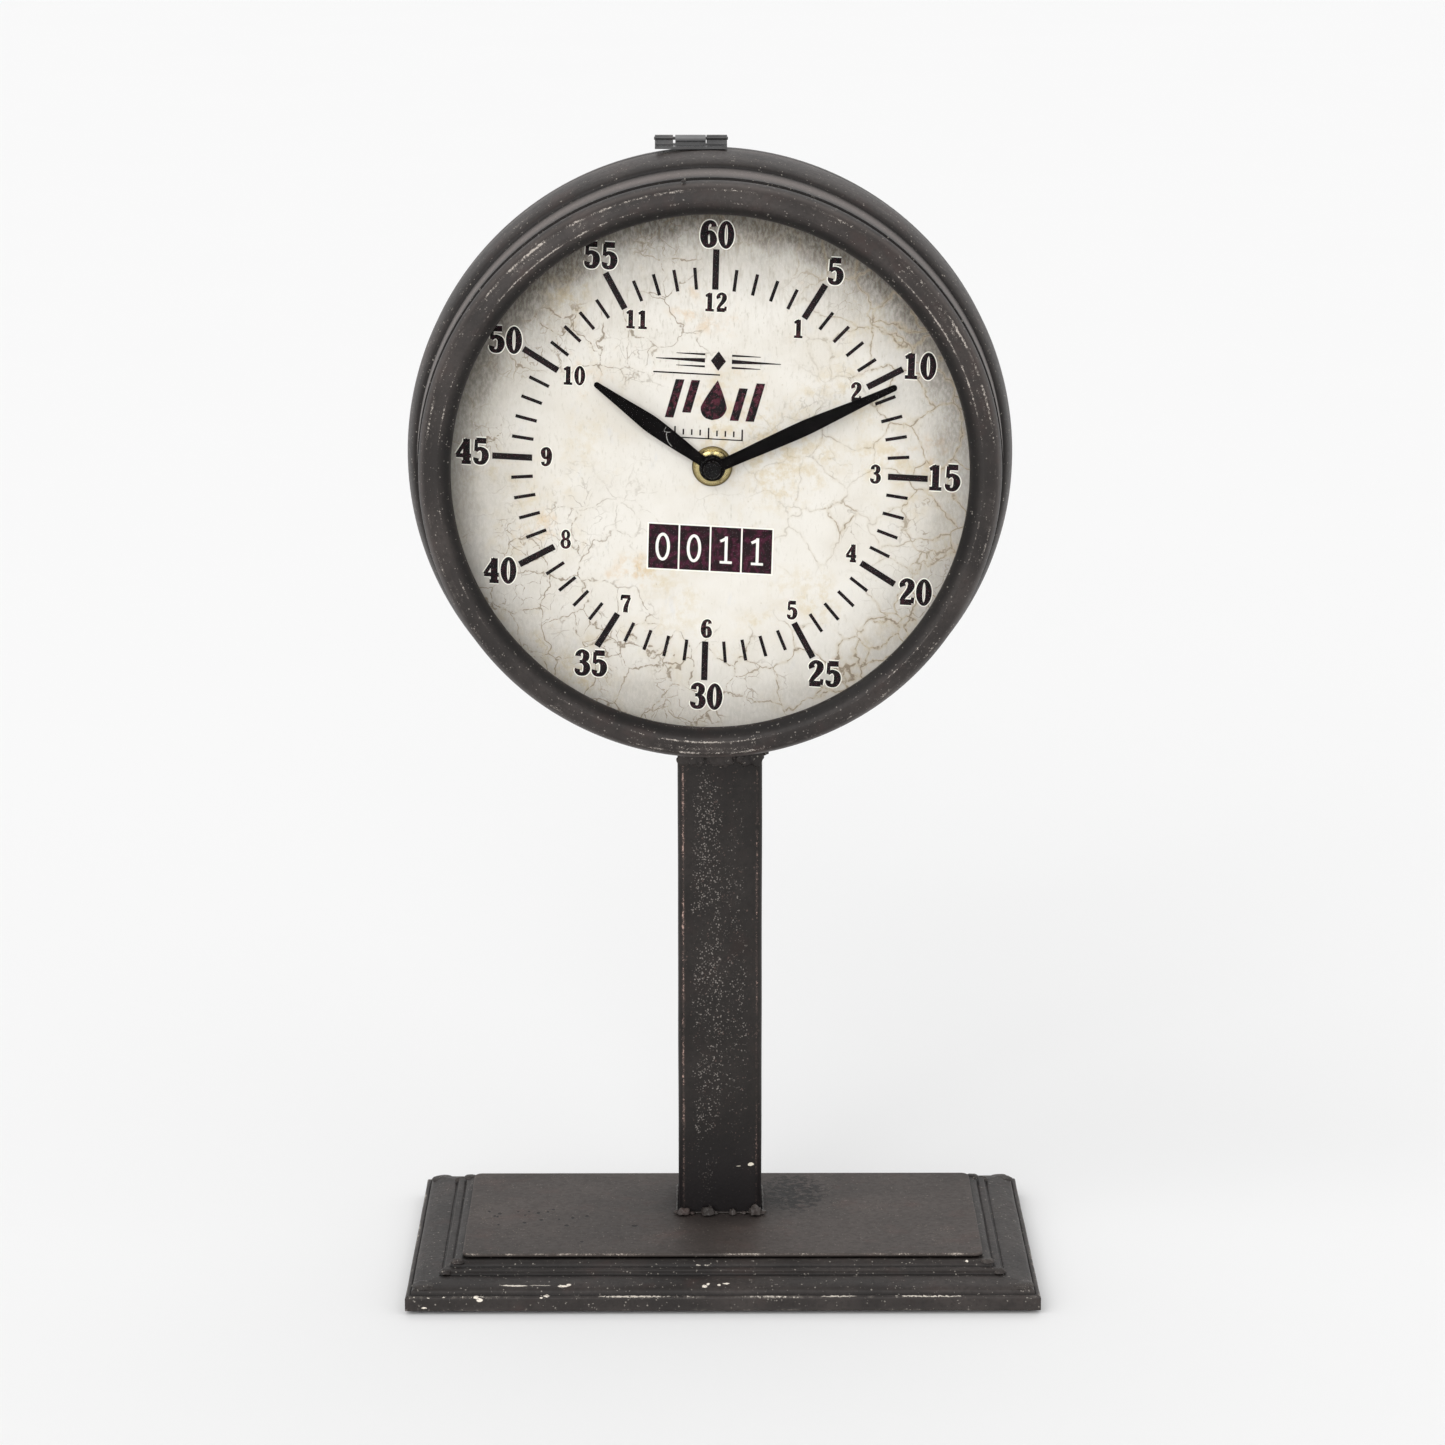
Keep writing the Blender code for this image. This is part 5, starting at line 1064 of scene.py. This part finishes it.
# Counter: four dark windows in a white frame, each with a figure
COUNTER_U, COUNTER_V = 0.8, -28.6
WINDOW_WIDTH, WINDOW_HEIGHT, WINDOW_PITCH = 10.3, 15.6, 10.85
FRAME_HALF, FRAME_EDGE = 21.9, 0.9
counter_frame, windows, figures = Print(0.02), Print(0.055), Print(0.10)
counter_frame.bar(COUNTER_U - FRAME_HALF, COUNTER_V, COUNTER_U + FRAME_HALF, COUNTER_V,
                  WINDOW_HEIGHT + FRAME_EDGE)
for number, digit in enumerate("0011"):
    u = COUNTER_U + (number - 1.5) * WINDOW_PITCH
    windows.bar(u - WINDOW_WIDTH / 2, COUNTER_V, u + WINDOW_WIDTH / 2, COUNTER_V, WINDOW_HEIGHT)
    figures.number(digit, u, COUNTER_V - 0.1, 9.8, PLAIN, 0.0, 1.02)
counter_frame.finish("print_counter_frame", halo_ink)
windows.finish("print_counter_windows",
               ink("counter", 0.75, (0.016, 0.008, 0.010), (0.070, 0.012, 0.030), 480.0))
figures.finish("print_counter_figures",
               ink("figures", 0.4, (0.80, 0.77, 0.72), (0.62, 0.55, 0.52)))

# Ornament above the hands: a ruled line with a diamond, a drop between slanted bars, a short scale
ornament = Print()
ornament.bar(-20.5, 32.2, 2.5, 32.2, 0.5)
for side in (-1, 1):
    for v, reaches, widths in ((37.0, (4.6, 12.0, 21.5), (1.5, 0.9, 0.25)),
                               (34.9, (4.6, 9.0, 14.5), (0.7, 0.5, 0.2)),
                               (39.1, (4.6, 9.0, 14.5), (0.7, 0.5, 0.2))):
        ornament.stroke([(side * x, v, w) for x, w in zip(reaches, widths)], 1.8)
ornament.ribbon([(1.8, 40.4), (4.4, 37.0)], [(-0.8, 37.0), (1.8, 33.6)])
for k in range(9):
    u = -12.5 + k * 2.9
    tall = 2.0 if k % 4 else 3.6
    ornament.bar(u, 11.9 - tall / 2, u, 11.9 + tall / 2, 0.55)
ornament.bar(-12.8, 9.9, 11.0, 9.9, 0.4)
ornament.finish("print_ornament_fine", black_ink)

BAR_LEAN, BAR_HALF, DROP_LEAN, LEAN_FROM = 0.26, 1.5, 0.12, 23
DROP_U, DROP_RADIUS, DROP_LOW, DROP_TALL = 0.9, 4.5, 16.4, 14.0
bold = Print(0.06)
for u, low, high in ((-13.0, 16.6, 30.0), (-7.6, 18.6, 30.0), (9.4, 16.6, 28.0),
                     (14.8, 16.6, 30.0)):
    bold.ribbon(*([(u + BAR_LEAN * (v - LEAN_FROM) + half, v) for v in (low, high)]
                  for half in (-BAR_HALF, BAR_HALF)))
edges = [], []
for v in (DROP_LOW + DROP_TALL * k / 28 for k in range(29)):
    rise = v - DROP_LOW - DROP_RADIUS
    share = rise / (DROP_TALL - DROP_RADIUS)
    half = (math.sqrt(max(DROP_RADIUS ** 2 - rise ** 2, 0.0)) if rise < 0.0
            else DROP_RADIUS * (1.0 - share) * (1.0 + 0.55 * share) * (1.0 - 0.25 * share))
    for edge, sign in zip(edges, (-1, 1)):
        edge.append((DROP_U + sign * half + DROP_LEAN * (v - LEAN_FROM), v))
bold.ribbon(*edges)
bold.finish("print_ornament_bold", ink("ornament", 0.85, scale=620.0))

# ---------------------------------------------------------------- hands and their fittings

hand_black = enamel("black_enamel")
hub_black = enamel("black_enamel_hub", 0.10, (0.20, 0.32))
HAND_BEVEL = 0.12


def on_hand(node):
    """A function that places (across, along, depth) in mm on the hand with this CAD node."""
    points = np.array([v.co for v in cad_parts[node].data.vertices])
    flat = points[:, (0, 2)] - np.array([ARBOR.x, ARBOR.z])
    away = np.linalg.norm(flat, axis=1)
    far = flat[away > away.max() - 0.2 * MM].mean(axis=0)
    angle = math.atan2(far[0], far[1])
    c, s = math.cos(angle), math.sin(angle)
    return lambda x, z, depth: (ARBOR.x + (x * c + z * s) * MM, depth * MM,
                                ARBOR.z + (z * c - x * s) * MM)


def build_hand(kind, body, hub, hole, length, stations):
    """A hand: a leaf through (reach, half width) stations, with bevelled edges and round hub."""
    node = f"{kind}_hand"
    front, back = depths(node)
    point = on_hand(node)
    side = [(h, r) for r, h, _ in smooth_line([(r, h, 0.0) for r, h in stations])]
    tip = stations[-1][1]
    side += [(tip * math.cos(a), length - tip + tip * math.sin(a))
             for a in np.radians(range(15, 91, 15))]
    start = math.asin(side[0][0] / hub)
    steps = 30
    turns = [math.pi / 2 + start + (TAU - 2 * start) * k / steps for k in range(1, steps)]
    flat = np.array(side + [(-h, r) for h, r in side[-2::-1]]
                    + [(hub * math.cos(a), hub * math.sin(a)) for a in turns])
    ahead = np.roll(flat, -1, axis=0) - np.roll(flat, 1, axis=0)
    inward = np.c_[-ahead[:, 1], ahead[:, 0]] / np.linalg.norm(ahead, axis=1)[:, None]
    bm = bmesh.new()

    def row(points, depth):
        return [bm.verts.new(point(x, z, depth)) for x, z in points]

    def skin(a, b):
        for i in range(len(a)):
            j = (i + 1) % len(a)
            bm.faces.new((a[i], a[j], b[j], b[i]))
    rows = [row(flat + inward * HAND_BEVEL, front), row(flat, front + HAND_BEVEL), row(flat, back)]
    skin(rows[0], rows[1])
    skin(rows[1], rows[2])
    around = [(hole * math.cos(t), hole * math.sin(t))
              for t in np.linspace(0, TAU, 28, endpoint=False)]
    holes = []
    for outside, depth in ((rows[0], front), (rows[2], back)):
        holes.append(row(around, depth))
        pairs = [pair for verts in (outside, holes[-1])
                 for pair in zip(verts, verts[1:] + verts[:1])]
        edges = [bm.edges.get(pair) or bm.edges.new(pair) for pair in pairs]
        bmesh.ops.triangle_fill(bm, edges=edges, use_beauty=True)
    skin(*holes)
    bmesh.ops.recalc_face_normals(bm, faces=bm.faces)
    name = f"hand_{kind}"
    place_mesh(name, mesh_of(name, bm), hand_black, body, node, 28.0)


build_hand("hour", "hour_pipe", 4.5, 2.56, 50.0,
           [(4.1, 1.8), (9.0, 2.05), (14.0, 2.45), (25.0, 3.0), (31.0, 2.65), (36.0, 2.15),
            (42.0, 1.6), (49.0, 1.0)])
build_hand("minute", "minute_arbor", 3.8, 1.71, 69.4,
           [(3.2, 2.0), (11.0, 2.1), (20.0, 2.4), (34.0, 2.7), (46.0, 2.15), (58.0, 1.45),
            (68.3, 1.1)])
HOUR_FRONT = depths("hour_hand")[0]
turned("hour_collar", fillet([(2.7, HOUR_FRONT - 0.02), (2.7, HOUR_FRONT - 0.75),
                              (3.9, HOUR_FRONT - 0.75), (4.15, HOUR_FRONT - 0.02)], 0.18),
       hub_black, None, 64, 0.4, ARBOR, "hour_pipe")
front, back = depths("cap_nut")
turned("cap_nut_round", [(0.0, front + 0.12), (1.4, front + 0.05), (2.3, front),
                         (2.75, front + 0.2), (3.0, front + 0.6), (3.0, back), (0.0, back)],
       hub_black, "cap_nut", 64, 0.3, ARBOR, "minute_arbor")

# A hair-thin pale hook across the hour hand
scratch = Finish("scratch_pale", Roughness=0.6)
on_hour = on_hand("hour_hand")
hook = Print(0.012, -0.05, lambda x, z, height: on_hour(x, z, HOUR_FRONT - height))
hook.stroke([(-2.0, 15.6, .10), (-1.5, 17.6, .16), (-0.2, 19.3, .20), (0.9, 19.9, .22),
             (1.8, 19.0, .16), (0.7, 20.9, .20), (2.3, 21.3, .10)])
hook.finish("hour_hand_scratch", scratch.done(scratch.mix(
    scratch.step(scratch.noise(2600.0), 0.35, 0.6), (0.03, 0.028, 0.027), (0.50, 0.48, 0.46))),
    "hour_pipe")

gold = metal("brass", (0.50, 0.40, 0.20), (0.075, 0.052, 0.022), 0.13)
front, back = depths("brass_washer")
turned("washer", fillet([(4.3, front), (6.75, front), (7.0, front + 0.3), (7.0, back),
                         (4.3, back)], 0.15), gold, "brass_washer", 72, 0.4, ARBOR,
       grooves=[(6.9, front, 0.95, 1.0), (4.3, front, 0.5, 0.7)])


def build_nut():
    """Hexagon nut with chamfered corners on the bush."""
    low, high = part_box("hex_nut")
    front, back = depths("hex_nut")
    flats = (high.z - low.z) / 2 / MM
    whole, bore = 99.0, 4.15       # radii in mm: one past the corners, and that of the hole
    rings = []
    for depth, limit in ((back, whole), (front + 0.55, whole), (front + 0.12, 5.75),
                         (front, 5.3), (front, bore), (back, bore)):
        ring = []
        for a in (TAU * k / 72 for k in range(72)):
            near = (a + math.pi / 6) % (math.pi / 3) - math.pi / 6
            radius = min(flats / math.cos(near), limit)
            ring.append((ARBOR.x + radius * math.cos(a + math.pi / 2) * MM, depth * MM,
                         ARBOR.z + radius * math.sin(a + math.pi / 2) * MM))
        rings.append(ring)
    add_piece("nut", *stacked(rings, True), gold, node="hex_nut", angle=22.0)


build_nut()
PITCH = 0.75                       # of the bush's thread, in mm
front, back = depths("threaded_bush")
thread = [(2.6, front), (3.7, front)]
for k in range(int((back - front) / PITCH)):
    y = front + 0.3 + k * PITCH
    thread += [(4.0, y), (4.0, y + 0.15), (3.72, y + 0.45)]
thread += [(4.0, back), (2.6, back)]
turned("bush", thread, gold, "threaded_bush", 64, 2.0, ARBOR)

front, back = depths("glass")
glass = turned("window", [(0.0, front), (94.6, front), (95.0, front + 0.4), (95.0, back - 0.4),
                          (94.6, back), (0.0, back)], clear_glass("clear_glass"), "glass", 128,
               12.0)
glass.visible_shadow = False

# ---------------------------------------------------------------- pieces kept from the CAD

nylon = plastic("nylon", (0.72, 0.70, 0.64), 0.40)
black_plastic = plastic("black_plastic", (0.012, 0.012, 0.013), 0.42, 1300.0)
battery_low, battery_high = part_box("battery")
FEET = [f"felt_foot_{end}_{side}" for end in ("front", "back") for side in ("left", "right")]
KEPT = {
    "bezel_rivet": bezel_paint, "hinge_pin": hinge_paint,
    "spacer_hoop": enamel("black_enamel_inside"),
    "rubber_washer": plastic("rubber", (0.018, 0.017, 0.017), 0.72, 900.0),
    "movement_case": black_plastic, "movement_back": black_plastic,
    "coil": winding("copper_wire"), "circuit_board": circuit("board"),
    "battery": cell_sleeve("battery_sleeve", battery_low.x, battery_high.x),
    "setting_knob": plastic("black_plastic_knob", (0.045, 0.045, 0.047), 0.38, 1300.0),
    "rotor": metal("magnet", (0.10, 0.10, 0.105), (0.05, 0.045, 0.045), 0.35)}
KEPT.update(dict.fromkeys(("dial_keeper_hoop", "stator", "quartz_crystal", "contact_positive",
                           "contact_negative", "minute_wheel"), steel))
KEPT.update(dict.fromkeys(("hour_wheel", "motion_wheel", "third_wheel", "seconds_wheel"), nylon))
KEPT.update(dict.fromkeys(FEET, fibre("felt", (0.014, 0.014, 0.016))))
for node, material in KEPT.items():
    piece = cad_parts[node]
    piece.data.materials.clear()
    piece.data.materials.append(material)
    for face in piece.data.polygons:
        face.material_index = 0
for node, width in (("movement_case", 0.6), ("movement_back", 0.35), ("battery", 0.5),
                    ("rotor", 0.2), *((foot, 0.25) for foot in FEET)):
    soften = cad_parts[node].modifiers.new("rounded_edges", "BEVEL")
    soften.width, soften.segments = width * MM, 2
    soften.limit_method, soften.angle_limit = "ANGLE", math.radians(40.0)

# Moulded relief on the back of the movement: a label frame, polarity marks, a ring round the knob,
# and the snap tabs that hold the two halves together
LID_FACE = depths("movement_back")[1]
SNAP_LEFT, SNAP_RIGHT = (corner.x / MM - ARBOR.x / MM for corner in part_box("movement_back"))
RELIEF_CHAMFER = 0.15


def relief(name, rectangles, low, high):
    """Chamfered raised bars, each (x0, z0, x1, z1) in mm from the hand axis."""
    verts, faces = [], []
    for x0, z0, x1, z1 in rectangles:
        rings = []
        for inset, depth in ((0.0, low), (0.0, high - RELIEF_CHAMFER), (RELIEF_CHAMFER, high)):
            left, right, down, up = x0 + inset, x1 - inset, z0 + inset, z1 - inset
            rings.append([(ARBOR.x + x * MM, (LID_FACE + depth) * MM, ARBOR.z + z * MM)
                          for x, z in ((left, down), (right, down), (right, up), (left, up))])
        block_verts, block_faces = stacked(rings)
        faces += [tuple(len(verts) + i for i in face) for face in block_faces]
        verts += block_verts.tolist()
    add_piece(name, verts, faces, black_plastic, angle=20.0)


relief("movement_label_frame", ((-6.0, 2.0, 22.0, 2.8), (-6.0, 22.2, 22.0, 23.0),
                                (-6.0, 2.0, -5.2, 23.0), (21.2, 2.0, 22.0, 23.0)), -0.1, 0.45)
relief("movement_polarity_marks", ((19.2, -7.4, 23.2, -6.6), (20.8, -9.0, 21.6, -5.0),
                                   (-24.6, -7.4, -20.6, -6.6)), -0.1, 0.35)
relief("movement_snap_tabs", [
    (x0, z, x1, z + 5.0) for z in (-3.0, 18.0)
    for x0, x1 in ((SNAP_LEFT - 0.6, SNAP_LEFT + 0.1), (SNAP_RIGHT - 0.1, SNAP_RIGHT + 0.6))],
    -5.0, -0.4)
turned("movement_knob_ring", [(r, LID_FACE + d) for r, d in (
    (6.5, -0.1), (6.5, 0.35), (6.65, 0.5), (7.15, 0.5), (7.3, 0.35), (7.3, -0.1))],
    black_plastic, None, 64, 2.0, centre_of("setting_knob"))

# ---------------------------------------------------------------- floor, light and camera

floor_finish = Finish("studio_floor", Roughness=0.9, Specular_IOR_Level=0.0)
bpy.ops.mesh.primitive_plane_add(size=80.0, location=(0.0, 0.0, 0.0))
floor = bpy.context.object
floor.name = "studio_floor"
floor.data.materials.append(floor_finish.done(floor_finish.mix(
    floor_finish.noise(3.0), (0.885, 0.885, 0.885), (0.893, 0.893, 0.893))))

world = bpy.data.worlds.new("studio")
bpy.context.scene.world = world
world.use_nodes = True
world.node_tree.nodes["Background"].inputs["Color"].default_value = (1.0, 1.0, 1.0, 1.0)
world.node_tree.nodes["Background"].inputs["Strength"].default_value = 0.71

# Broad soft suns: where each comes from, its strength and its spread in degrees
for name, source, strength, spread in (("key_left", (-0.8, -0.75, 0.9), 0.62, 45.0),
                                       ("front", (-0.2, -1.0, 0.38), 0.95, 40.0),
                                       ("top_back", (0.1, 0.55, 1.0), 0.35, 60.0),
                                       ("fill_right", (0.9, -0.6, 0.6), 0.20, 60.0)):
    light = bpy.data.lights.new(name, "SUN")
    light.energy, light.angle = strength, math.radians(spread)
    sun = bpy.data.objects.new(name, light)
    bpy.context.scene.collection.objects.link(sun)
    sun.location = source
    sun.rotation_euler = Vector(source).to_track_quat("Z", "Y").to_euler()

camera_data = bpy.data.cameras.new("camera")
camera_data.sensor_width, camera_data.lens = 36.0, 105.0
camera = bpy.data.objects.new("camera", camera_data)
bpy.context.scene.collection.objects.link(camera)
camera.location = (-0.0064, -1.4496, 0.5332)
camera.rotation_euler = (math.radians(90.0 - 13.03), 0.0, math.radians(-0.257))
bpy.context.scene.camera = camera
bpy.context.scene.view_settings.view_transform = "Standard"
